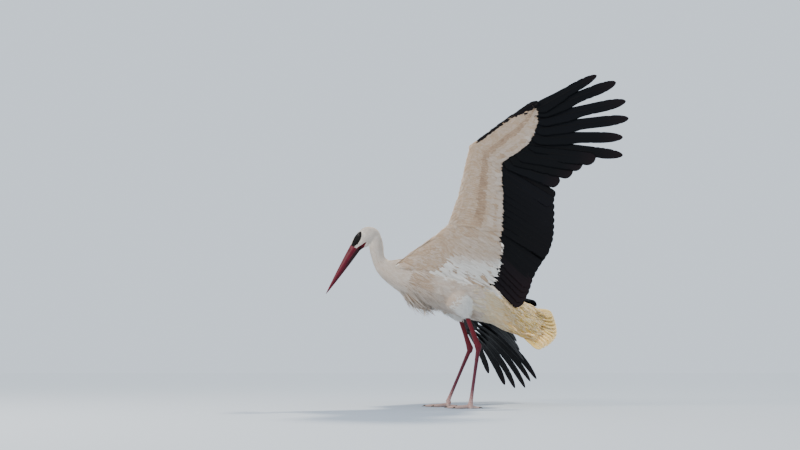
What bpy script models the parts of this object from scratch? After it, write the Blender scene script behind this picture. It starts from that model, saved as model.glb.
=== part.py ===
"""A white stork, life size, on both feet, its left wing raised and its right wing spread and lowered.

Metres, +Z up, floor at z = 0. The bird looks towards -X and its left side is towards -Y. The lengths
below are in the bird's own frame, whose origin is the floor under the hips. At the end an empty carries
the bird to where the origin is the bottom centre of its bounding box.
"""

import math

import bmesh
import bpy
from mathutils import Matrix, Vector

# Driving dimensions, in metres
GAP = 0.0004  # free space between touching pieces
BILL_LENGTH = 0.176
HAND_LENGTH = 0.175  # wrist to the end of the finger bones
TAIL_LENGTH = 0.215
TAIL_FEATHERS = 12
TAIL_SPREAD = math.radians(27)  # half the fan's opening
EYE_RADIUS = 0.0072
TOE_RADIUS = 0.0046
SOLE_DEPTH = 0.0008  # how much of a toe's round underside is flattened at the floor

# Directions and places in the bird's frame
BILL_BASE = Vector((-0.311, 0.0, 0.517))
BILL_AXIS = Vector((-0.53, 0.0, -0.848)).normalized()  # from the face to the bill's tip
TAIL_ROOT = Vector((0.150, 0.0, 0.322))
TAIL_PITCH = math.radians(-25.7)
TAIL_ROLL = math.radians(46)  # left edge up

# Spine, from the head to the tail's root: x, z, half height, half width, roll in degrees (left side up)
SPINE = [
    (-0.2530, 0.560, 0.0210, 0.0190, 0),
    (-0.2440, 0.540, 0.0200, 0.0190, 0),
    (-0.2425, 0.515, 0.0235, 0.0215, 0),
    (-0.2385, 0.490, 0.0205, 0.0195, 0),
    (-0.2300, 0.467, 0.0230, 0.0215, 2),
    (-0.2090, 0.446, 0.0320, 0.0320, 5),
    (-0.1720, 0.432, 0.0490, 0.0510, 8),
    (-0.1250, 0.418, 0.0640, 0.0690, 10),
    (-0.0650, 0.398, 0.0690, 0.0800, 12),
    (0.0000, 0.378, 0.0730, 0.0830, 14),
    (0.0650, 0.356, 0.0730, 0.0770, 18),
    (0.1250, 0.332, 0.0620, 0.0690, 28),
    (0.1700, 0.312, 0.0440, 0.0760, 40),
    (0.2150, 0.291, 0.0270, 0.0790, 46),
    (0.2550, 0.272, 0.0140, 0.0680, 46),
    (0.2800, 0.260, 0.0050, 0.0380, 46),
]
# Where the spine is parted, as the x and z of the cut
NECK_CUT = Vector((-0.2340, 0.0, 0.478))
BREAST_CUT = Vector((-0.1450, 0.0, 0.425))
RUMP_CUT = Vector((0.1150, 0.0, 0.338))

# Head, from the bill's base backwards: distance, rise towards the crown, half height, half width
HEAD = [
    (-0.0040, 0.0000, 0.0180, 0.0122),
    (0.0080, 0.0000, 0.0212, 0.0160),
    (0.0250, -0.0045, 0.0272, 0.0212),
    (0.0420, -0.0100, 0.0310, 0.0240),
    (0.0580, -0.0145, 0.0315, 0.0246),
    (0.0720, -0.0185, 0.0295, 0.0225),
    (0.0830, -0.0220, 0.0190, 0.0150),
    (0.0870, -0.0235, 0.0070, 0.0060),
]
# Bill: share of its length, half height, half width
BILL = [
    (0.00, 0.0180, 0.0122),
    (0.20, 0.0156, 0.0108),
    (0.45, 0.0118, 0.0085),
    (0.70, 0.0074, 0.0058),
    (0.90, 0.0032, 0.0027),
    (1.00, 0.0008, 0.0008),
]
EYE_BACK, EYE_RISE, EYE_SIDE = 0.0390, 0.0098, 0.0131  # deep enough that a disc 11.5 mm across shows

# Arm and hand of a wing, along its bones (0 shoulder, 1 elbow, 2 wrist, 3 finger end): reach before
# and behind the bone, and thickness
WING = [
    (0.00, 0.090, 0.235, 0.056),
    (0.33, 0.078, 0.208, 0.048),
    (0.66, 0.058, 0.168, 0.038),
    (1.00, 0.046, 0.132, 0.032),
    (1.33, 0.027, 0.124, 0.027),
    (1.66, 0.021, 0.114, 0.024),
    (2.00, 0.014, 0.100, 0.023),
    (2.33, 0.012, 0.100, 0.017),
    (2.66, 0.012, 0.104, 0.013),
    (3.00, 0.010, 0.082, 0.010),
    (3.20, 0.008, 0.054, 0.008),
    (3.35, 0.004, 0.020, 0.006),
]
# Primaries, from the outermost (tenth) to the first: root along the bones, the tip's distance from
# the wrist
PRIMARIES = [
    (3.34, 0.458),
    (3.30, 0.501),
    (3.22, 0.508),
    (3.10, 0.503),
    (2.97, 0.477),
    (2.80, 0.476),
    (2.62, 0.392),
    (2.46, 0.354),
    (2.30, 0.328),
    (2.15, 0.298),
]
ARM_SEGMENTS = 12
# How far the outermost points stand in from the edges
EDGE_SHARE = (1 - math.cos(math.pi / ARM_SEGMENTS)) / 2
ROOT_SHARE = -0.045  # how far a feather reaches into the arm, as a share of its length
FINGERS = 6  # the outer primaries stand apart as fingers
FINGER_HALF_WIDTH = 0.0188
OUTER_WEB = 0.023  # half width of the outermost primary on its free side
SECONDARIES = 14
SECONDARY_FIRST, SECONDARY_LAST = 2.03, 0.62  # their roots along the bones
TERTIALS = 5
VANE_THICKNESS = 0.0013

# Wings: shoulder, elbow and wrist; the hand's direction and the one behind it; the chords at the
# joints; the angles of the primaries' tips from the hand, from the outermost; and the degrees that
# the slotted tips turn round their shafts
LEFT_WING = {
    "joints": [(-0.100, -0.050, 0.440), (0.030, -0.098, 0.575), (0.066, -0.130, 0.820)],
    "hand": (0.800, -0.12, 0.584),
    "trail": (0.582, 0.05, -0.813),
    "chords": [(0.990, -0.06, -0.12), (0.995, -0.04, -0.07), (0.875, 0.02, -0.485)],
    "spread": [6.4, 12.1, 19.8, 26.1, 32.8, 39.7, 41.6, 45.2, 50.4, 58.2],
    "camber": 0.11,
    "twist": 0,
}
RIGHT_WING = {
    "joints": [(-0.100, 0.050, 0.430), (0.053, 0.166, 0.390), (0.010, 0.400, 0.430)],
    "hand": (0.304, 0.673, -0.674),
    "trail": (0.691, -0.643, -0.330),
    "chords": [(0.975, 0.08, -0.13), (0.955, 0.17, -0.22), (0.900, -0.20, -0.38)],
    "spread": [6.4, 14.4, 20.6, 28.3, 36.0, 41.9, 46.5, 52.0, 58.5, 66.0],
    "camber": 0.24,
    "twist": -20,
}

# Legs: places of the plumage's root, its end, the ankle and the foot
LEFT_LEG = {
    "hip": (0.008, -0.046, 0.362),
    "plumage": (0.0490, -0.056, 0.287),
    "ankle": (0.084, -0.054, 0.190),
    "foot": (0.055, -0.075, 0.013),
    "heading": 172,
}
RIGHT_LEG = {
    "hip": (-0.002, 0.042, 0.352),
    "plumage": (0.0350, 0.054, 0.283),
    "ankle": (0.066, 0.056, 0.188),
    "foot": (-0.010, 0.068, 0.013),
    "heading": 186,
}
# Toes: angle from the foot's heading, length without the claw
TOES = {"inner": (-36, 0.056), "middle": (-2, 0.073), "outer": (33, 0.060), "hind": (176, 0.028)}
CLAW_LENGTH = 0.011

FINISHES = {  # linear red, green, blue, then roughness
    "plumage": ((0.72, 0.63, 0.50), 0.85),
    "tail_plumage": ((0.80, 0.68, 0.42), 0.85),
    "flight_feathers": ((0.012, 0.012, 0.016), 0.55),
    "bill": ((0.36, 0.02, 0.03), 0.35),
    "legs": ((0.42, 0.05, 0.05), 0.5),
    "claws": ((0.06, 0.04, 0.035), 0.45),
    "eyes": ((0.01, 0.008, 0.007), 0.08),
}


# Small tools


def clear_scene():
    for obj in list(bpy.data.objects):
        bpy.data.objects.remove(obj)


def material(name, finish):
    colour, roughness = FINISHES[finish]
    made = bpy.data.materials.new(name)
    made.use_nodes = True
    shader = made.node_tree.nodes["Principled BSDF"]
    shader.inputs["Base Color"].default_value = (*colour, 1)
    shader.inputs["Roughness"].default_value = roughness
    shader.inputs["Metallic"].default_value = 0
    return made


def collection(name):
    found = bpy.data.collections.get(name)
    if not found:
        found = bpy.data.collections.new(name)
        bpy.context.scene.collection.children.link(found)
    return found


def mesh_of(name, bm):
    mesh = bpy.data.meshes.new(name)
    bm.to_mesh(mesh)
    return mesh


def new_object(name, bm, finish):
    mesh = mesh_of(name, bm)
    bm.free()
    mesh.shade_smooth()
    mesh.materials.append(material(name, finish))
    obj = bpy.data.objects.new(name, mesh)
    collection("white_stork").objects.link(obj)
    return obj


def bake(obj):
    """Replaces the object's mesh by its evaluated one, and drops its modifiers."""
    graph = bpy.context.evaluated_depsgraph_get()
    mesh = bpy.data.meshes.new_from_object(obj.evaluated_get(graph))
    obj.modifiers.clear()
    obj.data = mesh


def new_cutter(name, mesh):
    """A helper of the mesh's shape, grown by the gap."""
    cutter = bpy.data.objects.new("cutter_" + name, mesh)
    collection("cutters").objects.link(cutter)
    grow = cutter.modifiers.new("grow", "DISPLACE")
    grow.strength = GAP
    grow.mid_level = 0
    cutter.hide_render = True
    cutter.display_type = "WIRE"
    return cutter


def cut(obj, *cutters):
    """Takes the cutters out of obj. A piece may be a cutter, and is then left with a gap round it."""
    for cutter in cutters:
        if not cutter.modifiers:
            cutter = new_cutter(cutter.name, cutter.data.copy())
        boolean = obj.modifiers.new("cut", "BOOLEAN")
        boolean.operation = "DIFFERENCE"
        boolean.object = cutter
    bake(obj)
    keep_largest(obj)


def keep_largest(obj):
    """Drops the crumbs that a cut leaves on the far side of a neighbour."""
    bm = bmesh.new()
    bm.from_mesh(obj.data)
    bmesh.ops.remove_doubles(bm, verts=bm.verts, dist=0.00002)
    islands, seen = [], set()
    for start in bm.verts:
        if start in seen:
            continue
        island, front = {start}, [start]
        while front:
            for edge in front.pop().link_edges:
                for vert in edge.verts:
                    if vert not in island:
                        island.add(vert)
                        front.append(vert)
        seen |= island
        islands.append(island)
    largest = max(islands, key=len)
    bmesh.ops.delete(bm, geom=[v for v in bm.verts if v not in largest], context="VERTS")
    bm.to_mesh(obj.data)
    bm.free()


def spline(rows, per_span):
    """Rows of numbers on a smooth curve through the given rows (Catmull-Rom)."""
    ends = [rows[0], *rows, rows[-1]]
    made = []
    for a, b, c, d in zip(ends, ends[1:], ends[2:], ends[3:]):
        for step in range(per_span):
            t = step / per_span
            made.append([
                q + 0.5 * t * (r - p + t * (2 * p - 5 * q + 4 * r - s + t * (3 * (q - r) + s - p)))
                for p, q, r, s in zip(a, b, c, d)
            ])
    return made + [list(rows[-1])]


def loft(rings):
    """A closed skin through rings of points, extruded from ring to ring and capped."""
    bm = bmesh.new()
    verts = bmesh.ops.create_circle(bm, cap_ends=True, segments=len(rings[0]), radius=1)["verts"]
    for vert, place in zip(verts, rings[0]):
        vert.co = place
    edges = list(bm.edges)
    for ring in rings[1:]:
        made = bmesh.ops.extrude_edge_only(bm, edges=edges)["geom"]
        edges = [part for part in made if isinstance(part, bmesh.types.BMEdge)]
        fresh = {part for part in made if isinstance(part, bmesh.types.BMVert)}
        edges = [edge for edge in edges if set(edge.verts) <= fresh]
        verts = [next(e.other_vert(v) for e in v.link_edges if e.other_vert(v) in fresh) for v in verts]
        for vert, place in zip(verts, ring):
            vert.co = place
    bmesh.ops.contextual_create(bm, geom=edges)
    bmesh.ops.recalc_face_normals(bm, faces=bm.faces)
    return bm


def oval(centre, up, side, half_height, half_width, segments):
    """A ring of points, an ellipse round centre."""
    turns = [2 * math.pi * i / segments for i in range(segments)]
    return [centre + up * (half_height * math.cos(a)) + side * (half_width * math.sin(a)) for a in turns]


def tube(stations, segments, side=Vector((0, 1, 0)), per_span=2):
    """A round body along stations of x, y, z, half thickness across side, half thickness along side."""
    rows = spline(stations, per_span)
    places = [Vector(row[:3]) for row in rows]
    rings = []
    for i, row in enumerate(rows):
        along = (places[min(i + 1, len(rows) - 1)] - places[max(i - 1, 0)]).normalized()
        across = along.cross(side).normalized()
        rings.append(oval(places[i], across, across.cross(along), row[3], row[4], segments))
    return loft(rings)


def half_of(bm, place, normal):
    """The part of a mesh on the normal's side of a plane, closed half the gap away from it."""
    piece = bm.copy()
    everything = [*piece.verts, *piece.edges, *piece.faces]
    done = bmesh.ops.bisect_plane(
        piece, geom=everything, plane_co=place + normal * (GAP / 2), plane_no=normal, clear_inner=True)
    rim = [part for part in done["geom_cut"] if isinstance(part, bmesh.types.BMEdge)]
    bmesh.ops.contextual_create(piece, geom=rim)
    bmesh.ops.recalc_face_normals(piece, faces=piece.faces)
    return piece


# Head, neck and trunk


def build_spine():
    rows = spline(SPINE, 2)
    places = [Vector((row[0], 0, row[1])) for row in rows]
    rings = []
    for i, row in enumerate(rows):
        along = (places[min(i + 1, len(rows) - 1)] - places[max(i - 1, 0)]).normalized()
        turn = Matrix.Rotation(math.radians(row[4]), 3, along)
        side = turn @ Vector((0, 1, 0))
        rings.append(oval(places[i], along.cross(side), side, row[2], row[3], 18))
    whole = loft(rings)
    cuts = [(NECK_CUT, (0.32, 0, -0.95)), (BREAST_CUT, (0.95, 0, -0.32)), (RUMP_CUT, (0.94, 0, -0.34))]
    pieces = []
    rest = whole
    for place, normal in cuts:
        normal = Vector(normal).normalized()
        pieces.append(half_of(rest, place, -normal))
        rest = half_of(rest, place, normal)
    neck, *_ = [new_object(name, piece, "plumage")
                for name, piece in zip(("neck_upper", "neck_lower", "trunk", "rump"), (*pieces, rest))]
    return neck, new_cutter("body", mesh_of("body", whole))


def build_head():
    crown = Vector((0, 1, 0)).cross(BILL_AXIS)  # from the head's axis towards the forehead
    side = Vector((0, 1, 0))
    rings = []
    for back, rise, half_height, half_width in spline(HEAD, 2):
        centre = BILL_BASE - BILL_AXIS * back + crown * rise
        rings.append(oval(centre, crown, side, half_height, half_width, 14))
    head = new_object("head", loft(rings), "plumage")
    for name, sign in (("eye_left", -1), ("eye_right", 1)):
        bm = bmesh.new()
        bmesh.ops.create_uvsphere(bm, u_segments=12, v_segments=6, radius=EYE_RADIUS)
        centre = BILL_BASE - BILL_AXIS * EYE_BACK + crown * EYE_RISE + side * (sign * EYE_SIDE)
        bmesh.ops.translate(bm, verts=bm.verts, vec=centre)
        cut(head, new_object(name, bm, "eyes"))
    return head


def build_bill():
    crown = Vector((0, 1, 0)).cross(BILL_AXIS)
    base = BILL_BASE + BILL_AXIS * (0.0040 + GAP)
    rings = []
    for share, half_height, half_width in spline(BILL, 2):
        centre = base + BILL_AXIS * (share * BILL_LENGTH)
        rings.append(oval(centre, crown, Vector((0, 1, 0)), half_height, half_width, 14))
    whole = loft(rings)
    mouth = base - crown * 0.0035  # the mouth's line runs from the gape to the tip
    normal = (crown - BILL_AXIS * 0.02).normalized()
    new_object("bill_upper", half_of(whole, mouth, normal), "bill")
    new_object("bill_lower", half_of(whole, mouth, -normal), "bill")


def build_breast_plumes():
    stations = [
        (-0.165, 0, 0.385, 0.020, 0.030),
        (-0.135, 0, 0.345, 0.020, 0.032),
        (-0.108, 0, 0.322, 0.013, 0.022),
        (-0.088, 0, 0.306, 0.005, 0.008),
    ]
    return new_object("breast_plumes", tube(stations, 12), "plumage")


# Tail


def tail_axes():
    """The tail's axis, its side towards the left, and its underside's normal."""
    axis = Vector((math.cos(TAIL_PITCH), 0, math.sin(TAIL_PITCH)))
    left = Matrix.Rotation(TAIL_ROLL, 3, axis) @ Vector((0, -1, 0))
    return axis, left, left.cross(axis)


def build_tail():
    axis, left, under = tail_axes()
    lines = []
    for i in range(TAIL_FEATHERS):
        aside = 2 * i / (TAIL_FEATHERS - 1) - 1
        angle = TAIL_SPREAD * aside
        way = axis * math.cos(angle) + left * math.sin(angle)
        reach = TAIL_LENGTH * (1 - 0.06 * abs(aside))
        lines.append((TAIL_ROOT + way * 0.055, TAIL_ROOT + way * reach, under))
    return new_object("tail", feather_sheet(lines, None, None, 0.15, thick=0.0018), "tail_plumage")


# Wings


class Wing:
    """The places of one wing, worked out from its joints."""

    def __init__(self, joints, hand, trail, chords, spread, camber, twist):
        self.hand = Vector(hand).normalized()
        self.trail = (Vector(trail) - self.hand * self.hand.dot(Vector(trail))).normalized()
        self.joints = [Vector(joint) for joint in joints]
        self.joints.append(self.joints[2] + self.hand * HAND_LENGTH)
        self.chords = [Vector(chord).normalized() for chord in chords] + [self.trail]
        self.turned = 1 if self.joints[2].y > 0 else -1
        self.spread = spread
        self.camber = camber
        self.twist = math.radians(twist)

    def bone(self, along):
        i = min(int(along), 2)
        return self.joints[i].lerp(self.joints[i + 1], along - i)

    def chord(self, along):
        i = min(int(along), 2)
        return self.chords[i].lerp(self.chords[i + 1], min(along - i, 1)).normalized()

    def outward(self, along):
        """In the wing's plane, square to the chord, towards its tip."""
        way = self.bone(along + 0.01) - self.bone(along - 0.01 if along > 0.01 else along)
        chord = self.chord(along)
        return (way - chord * way.dot(chord)).normalized()

    def under(self, along):
        return self.outward(along).cross(self.chord(along)) * self.turned

    def rear(self, along):
        """The middle of the arm's blunt rear edge."""
        rows = [(row[0], row[2] - EDGE_SHARE * (row[1] + row[2])) for row in WING]
        for (a, near), (b, far) in zip(rows, rows[1:]):
            if a <= along <= b:
                reach = near + (far - near) * (along - a) / (b - a)
                return self.bone(along) + self.chord(along) * reach

    def tip(self, distance, degrees):
        angle = math.radians(degrees)
        return self.joints[2] + (self.hand * math.cos(angle) + self.trail * math.sin(angle)) * distance

    def section(self, along, lead, rear, thick):
        """A ring round the arm: thick at the bone, thin behind, blunt at both edges."""
        chord, under = self.chord(along), self.under(along)
        ring = []
        for i in range(ARM_SEGMENTS):
            turn = 2 * math.pi * (i + 0.5) / ARM_SEGMENTS
            share = (1 - math.cos(turn)) / 2  # 0 at the leading edge, 1 behind
            depth = 0.002 + (thick / 2 - 0.002) * 1.9 * math.sqrt(share) * (1 - share) ** 0.8
            reach = -lead + (lead + rear) * share
            ring.append(self.bone(along) + chord * reach + under * math.copysign(depth, math.sin(turn)))
        return ring


def build_arm(side, wing, body):
    rings = [wing.section(*row) for row in spline(WING, 2)]
    whole = loft(rings)
    elbow, wrist = wing.joints[1], wing.joints[2]
    first = (wing.outward(0.9) + wing.outward(1.1)).normalized()
    second = (wing.outward(1.9) + wing.outward(2.1)).normalized()
    upper = new_object(side + "_upper_arm", half_of(whole, elbow, -first), "plumage")
    new_object(side + "_forearm", half_of(half_of(whole, elbow, first), wrist, -second), "plumage")
    new_object(side + "_hand", half_of(whole, wrist, second), "plumage")
    cut(upper, body)
    return new_cutter(side + "_arm", mesh_of(side + "_arm", whole))


def strip(rows, thick):
    """A sheet through rows of points, given its thickness."""
    bm = bmesh.new()
    across, along = len(rows[0]), len(rows)
    bmesh.ops.create_grid(bm, x_segments=across - 1, y_segments=along - 1, size=1)
    bm.verts.ensure_lookup_table()
    for vert, place in zip(bm.verts, [place for row in rows for place in row]):
        vert.co = place
    bmesh.ops.recalc_face_normals(bm, faces=bm.faces)
    bmesh.ops.solidify(bm, geom=list(bm.faces), thickness=thick)
    bmesh.ops.recalc_face_normals(bm, faces=bm.faces)
    return bm


def on_feather(line, share, camber, fall=1.0):
    """The place at a share of a feather's length. Its middle bows away from the wing's underside."""
    root, tip, under = line
    bow = camber * (tip - root).length_squared
    return root.lerp(tip, share * fall) - under * (4 * bow * share * (1 - share))


def feather_sheet(lines, before, after, camber, thick=VANE_THICKNESS, edge=0.012, rows=4):
    """Feathers side by side with rounded tips. The sheet ends halfway to a neighbouring feather."""
    places = []
    for j in range(rows + 1):
        share = j / rows if j else ROOT_SHARE
        notches = [on_feather(line, share, camber, 0.955) for line in lines]
        row = []
        for i, line in enumerate(lines):
            if i:
                row.append((notches[i - 1] + notches[i]) / 2)
            row.append(on_feather(line, share, camber))
        sides = []
        for neighbour, end, inner in ((before, 0, 1), (after, -1, -2)):
            if neighbour:
                reach = (on_feather(neighbour, share, camber, 0.955) - notches[end]) / 2
                reach -= reach.normalized() * GAP
            else:
                reach = (notches[end] - notches[inner]).normalized() * (edge * (1 - 0.7 * share ** 3))
            sides.append(notches[end] + reach)
        row = [sides[0], *row, sides[1]]
        places.append(row)
    return strip(places, thick)


def finger(lines, i, camber, twist):
    """One feather of a fan: as wide as the room to its neighbours allows, with a round tip."""
    shaft = lines[i][1] - lines[i][0]
    rows = []
    for share in (ROOT_SHARE, 0.12, 0.34, 0.56, 0.75, 0.88, 0.96, 1):
        centre = on_feather(lines[i], share, camber)
        blunt = math.sqrt(max(1 - (max(share - 0.78, 0) / 0.22) ** 2, 0.012))
        row = [centre]
        for j, where in ((i - 1, 0), (i + 1, 2)):
            if j < 0:
                row.insert(where, centre + (centre - on_feather(lines[1], share, camber)).normalized()
                           * (OUTER_WEB * blunt))
            else:
                reach = (on_feather(lines[j], share, camber) - centre) / 2
                width = min(FINGER_HALF_WIDTH * blunt, max(reach.length - GAP, 0.001))
                row.insert(where, centre + reach.normalized() * width)
        turn = Matrix.Rotation(twist * min(max((share - 0.12) / 0.33, 0), 1), 3, shaft)
        rows.append([centre + turn @ (place - centre) for place in row])
    return strip(rows, VANE_THICKNESS)


def primary_lines(wing):
    return [(wing.rear(along), wing.tip(distance, angle), wing.under(min(along, 2.99)))
            for (along, distance), angle in zip(PRIMARIES, wing.spread)]


def secondary_lines(wing):
    """The secondaries lean further towards the body, and get shorter, from the wrist to the elbow."""
    lines = []
    for i in range(SECONDARIES + TERTIALS):
        share = i / (SECONDARIES - 1)
        along = SECONDARY_FIRST + (SECONDARY_LAST - SECONDARY_FIRST) * share
        lean = math.radians(3 + 34 * min(share, 1.1))
        way = wing.chord(along) * math.cos(lean) - wing.outward(along) * math.sin(lean)
        length = 0.205 - 0.032 * share
        lines.append((wing.rear(along), wing.rear(along) + way * length, wing.under(along)))
    return lines


def build_wing(side, places, body):
    wing = Wing(**places)
    arm = build_arm(side, wing, body)
    primaries = primary_lines(wing)
    inner = secondary_lines(wing)
    secondaries, tertials = inner[:SECONDARIES], inner[SECONDARIES:]
    for i in range(FINGERS):
        feather = finger(primaries, i, wing.camber, wing.twist)
        cut(new_object(f"{side}_primary_{10 - i}", feather, "flight_feathers"), arm)
    sheets = {
        "inner_primaries": (primaries[FINGERS:], primaries[FINGERS - 1], secondaries[0]),
        "secondaries": (secondaries, primaries[-1], tertials[0]),
        "tertials": (tertials, secondaries[-1], None),
    }
    for name, feathers in sheets.items():
        sheet = new_object(f"{side}_{name}", feather_sheet(*feathers, wing.camber), "flight_feathers")
        cut(sheet, arm)


# Legs


def build_leg(side, places, body):
    hip, plumage, ankle, foot = (Vector(places[name]) for name in ("hip", "plumage", "ankle", "foot"))
    bulge = (hip + plumage) / 2 + Vector((0.002, 0.008 * (1 if hip.y > 0 else -1), 0.006))
    low = plumage.lerp(bulge, 0.35)
    thigh = new_object(side + "_thigh", tube([
        (*hip, 0.030, 0.026),
        (*hip.lerp(bulge, 0.5), 0.042, 0.034),
        (*bulge, 0.039, 0.032),
        (*low, 0.022, 0.019),
        (*plumage, 0.0095, 0.0095),
    ], 14), "plumage")
    cut(thigh, body)
    tibia = new_object(side + "_tibia", tube([
        (*plumage.lerp(ankle, -0.10), 0.0070, 0.0066),
        (*plumage.lerp(ankle, 0.45), 0.0068, 0.0062),
        (*plumage.lerp(ankle, 0.85), 0.0092, 0.0084),
        (*ankle, 0.0110, 0.0096),
        (*plumage.lerp(ankle, 1.07), 0.0055, 0.0050),
    ], 10), "legs")
    cut(tibia, thigh)
    tarsus = new_object(side + "_tarsus", tube([
        (*ankle.lerp(foot, 0.015), 0.0078, 0.0072),
        (*ankle.lerp(foot, 0.10), 0.0066, 0.0062),
        (*ankle.lerp(foot, 0.50), 0.0050, 0.0047),
        (*ankle.lerp(foot, 0.88), 0.0056, 0.0054),
        (*ankle.lerp(foot, 0.985), 0.0075, 0.0075),
    ], 10), "legs")
    cut(tarsus, tibia)
    build_foot(side, foot, math.radians(places["heading"]), tarsus)


def build_foot(side, foot, heading, tarsus):
    """Four toes from one pad, with flats at the floor, and a claw on each."""
    level = TOE_RADIUS - SOLE_DEPTH
    centre = Vector((foot.x, foot.y, 0))
    rows = ((-0.004, 0.0105), (0.006, 0.0105), (0.0125, 0.0080))
    pad = tube([(*(centre + Vector((0, 0, z))), r, r) for z, r in rows], 12, per_span=1)
    obj = new_object(side + "_foot", pad, "legs")
    claws = []
    for name, (turn, length) in TOES.items():
        sign = -1 if side == "left" else 1
        angle = heading + sign * math.radians(turn)
        way = Vector((math.cos(angle), math.sin(angle), 0))
        across = Vector((-way.y, way.x, 0))
        thin = 0.8 if name == "hind" else 1
        radius = TOE_RADIUS * thin
        height = radius - SOLE_DEPTH
        stations = [
            (*(centre + way * 0.002 + Vector((0, 0, level + 0.0035))), radius * 1.1, radius * 1.1),
            (*(centre + way * length * 0.35 + Vector((0, 0, height + 0.001))), radius, radius),
            (*(centre + way * length * 0.75 + Vector((0, 0, height))), radius * 0.95, radius * 0.95),
            (*(centre + way * length + Vector((0, 0, height * 0.9))), radius * 0.62, radius * 0.62),
        ]
        toe = new_object("toe", tube(stations, 8, side=across, per_span=1), "legs")
        join = obj.modifiers.new("join", "BOOLEAN")
        join.operation = "UNION"
        join.object = toe
        bake(obj)
        bpy.data.objects.remove(toe)
        end = centre + way * length
        claw = []
        for past, rise, share in ((-0.001, height, 0.62), (CLAW_LENGTH * 0.5, height * 0.9, 0.45),
                                  (CLAW_LENGTH, 0.0012, 0.15)):
            place = end + way * past + Vector((0, 0, rise))
            claw.append((*place, radius * share, radius * share))
        claws.append(new_object(f"{side}_claw_{name}", tube(claw, 6, side=across, per_span=1), "claws"))
    bm = bmesh.new()
    bm.from_mesh(obj.data)
    flat = half_of(bm, Vector((0, 0, -GAP / 2)), Vector((0, 0, 1)))
    bm.free()
    flat.to_mesh(obj.data)
    flat.free()
    cut(obj, tarsus)
    for claw in claws:
        cut(claw, obj)


def place_pieces(pieces):
    """Gives each piece an origin in its own middle, and parents them all to an empty that puts the
    bottom centre of their bounding box at the world's origin."""
    objects = list(pieces.objects)
    lows, highs = [], []
    for obj in objects:
        places = [vert.co for vert in obj.data.vertices]
        lows.append(Vector([min(place[k] for place in places) for k in range(3)]))
        highs.append(Vector([max(place[k] for place in places) for k in range(3)]))
    bottom = Vector([min(low[k] for low in lows) for k in range(3)])
    top = Vector([max(high[k] for high in highs) for k in range(3)])
    bird = bpy.data.objects.new("bird", None)
    bird.location = (-(bottom.x + top.x) / 2, -(bottom.y + top.y) / 2, -bottom.z)
    pieces.objects.link(bird)
    for obj, low, high in zip(objects, lows, highs):
        middle = (low + high) / 2
        obj.data.transform(Matrix.Translation(-middle))
        obj.location = middle
        obj.parent = bird


def main():
    clear_scene()
    head = build_head()
    build_bill()
    neck, body = build_spine()
    cut(neck, head)
    cut(build_breast_plumes(), body)
    cut(build_tail(), body)
    for side, wing, leg in (("left", LEFT_WING, LEFT_LEG), ("right", RIGHT_WING, RIGHT_LEG)):
        build_wing(side, wing, body)
        build_leg(side, leg, body)
    place_pieces(collection("white_stork"))


main()
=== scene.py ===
import math

import bmesh
import bpy
import numpy
from mathutils import Matrix, Vector, kdtree
from mathutils.bvhtree import BVHTree


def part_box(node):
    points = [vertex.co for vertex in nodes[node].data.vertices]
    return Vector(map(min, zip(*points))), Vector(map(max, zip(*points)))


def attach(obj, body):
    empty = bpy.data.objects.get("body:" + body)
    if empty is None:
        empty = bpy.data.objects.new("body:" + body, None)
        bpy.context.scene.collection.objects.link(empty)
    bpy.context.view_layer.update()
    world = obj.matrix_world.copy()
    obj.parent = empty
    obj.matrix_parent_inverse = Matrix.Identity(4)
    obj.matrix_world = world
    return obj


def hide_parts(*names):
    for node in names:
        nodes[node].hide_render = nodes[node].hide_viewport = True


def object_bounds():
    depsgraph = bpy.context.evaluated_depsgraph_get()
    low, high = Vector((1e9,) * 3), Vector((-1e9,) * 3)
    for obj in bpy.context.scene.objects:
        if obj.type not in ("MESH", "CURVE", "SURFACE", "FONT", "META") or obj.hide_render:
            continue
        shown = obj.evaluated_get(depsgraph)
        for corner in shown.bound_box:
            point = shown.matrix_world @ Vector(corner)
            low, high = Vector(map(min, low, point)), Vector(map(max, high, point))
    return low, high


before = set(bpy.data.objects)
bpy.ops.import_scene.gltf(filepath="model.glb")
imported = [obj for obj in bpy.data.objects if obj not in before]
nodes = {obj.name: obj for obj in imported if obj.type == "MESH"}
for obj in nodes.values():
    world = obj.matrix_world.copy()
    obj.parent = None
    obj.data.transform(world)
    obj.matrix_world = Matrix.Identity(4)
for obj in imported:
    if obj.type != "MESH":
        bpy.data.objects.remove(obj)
cadLow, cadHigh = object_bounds()
draw = numpy.random.default_rng(11)


def linear(hexColour):
    parts = [int(hexColour[i:i + 2], 16) / 255 for i in (1, 3, 5)]
    return (*[p / 12.92 if p <= 0.04045 else ((p + 0.055) / 1.055) ** 2.4 for p in parts], 1)


def between(a, b, share):
    return a + (b - a) * share


def smooth(low, high, value):
    share = numpy.clip((value - low) / (high - low), 0, 1)
    return share * share * (3 - 2 * share)


# places: the bird's own frame has the floor under its hips, and the bird looks towards -X
billBase = Vector((-0.311, 0, 0.517))
billAxis = Vector((-0.53, 0, -0.848)).normalized()
crownAxis = Vector((0, 1, 0)).cross(billAxis)
eyePlace = {"back": 0.0390, "rise": 0.0098, "radius": 0.0072}
eyeMiddles = {name: sum(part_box(name), Vector()) / 2 for name in ("eye_left", "eye_right")}
ownEye = billBase - billAxis * eyePlace["back"] + crownAxis * eyePlace["rise"]
shift = sum(eyeMiddles.values(), Vector()) / 2 - ownEye
billBase = billBase + shift


def at(*place):
    return Vector(place) + shift


# objects and materials

def newPiece(name, mesh, replaced, material):
    obj = bpy.data.objects.new(name, mesh)
    bpy.context.collection.objects.link(obj)
    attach(obj, "root")
    if replaced:
        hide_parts(*replaced)
    mesh.materials.append(material)
    mesh.polygons.foreach_set("use_smooth", [True] * len(mesh.polygons))
    return obj


def meshOf(name, bm):
    mesh = bpy.data.meshes.new(name)
    bm.to_mesh(mesh)
    bm.free()
    return mesh


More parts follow.
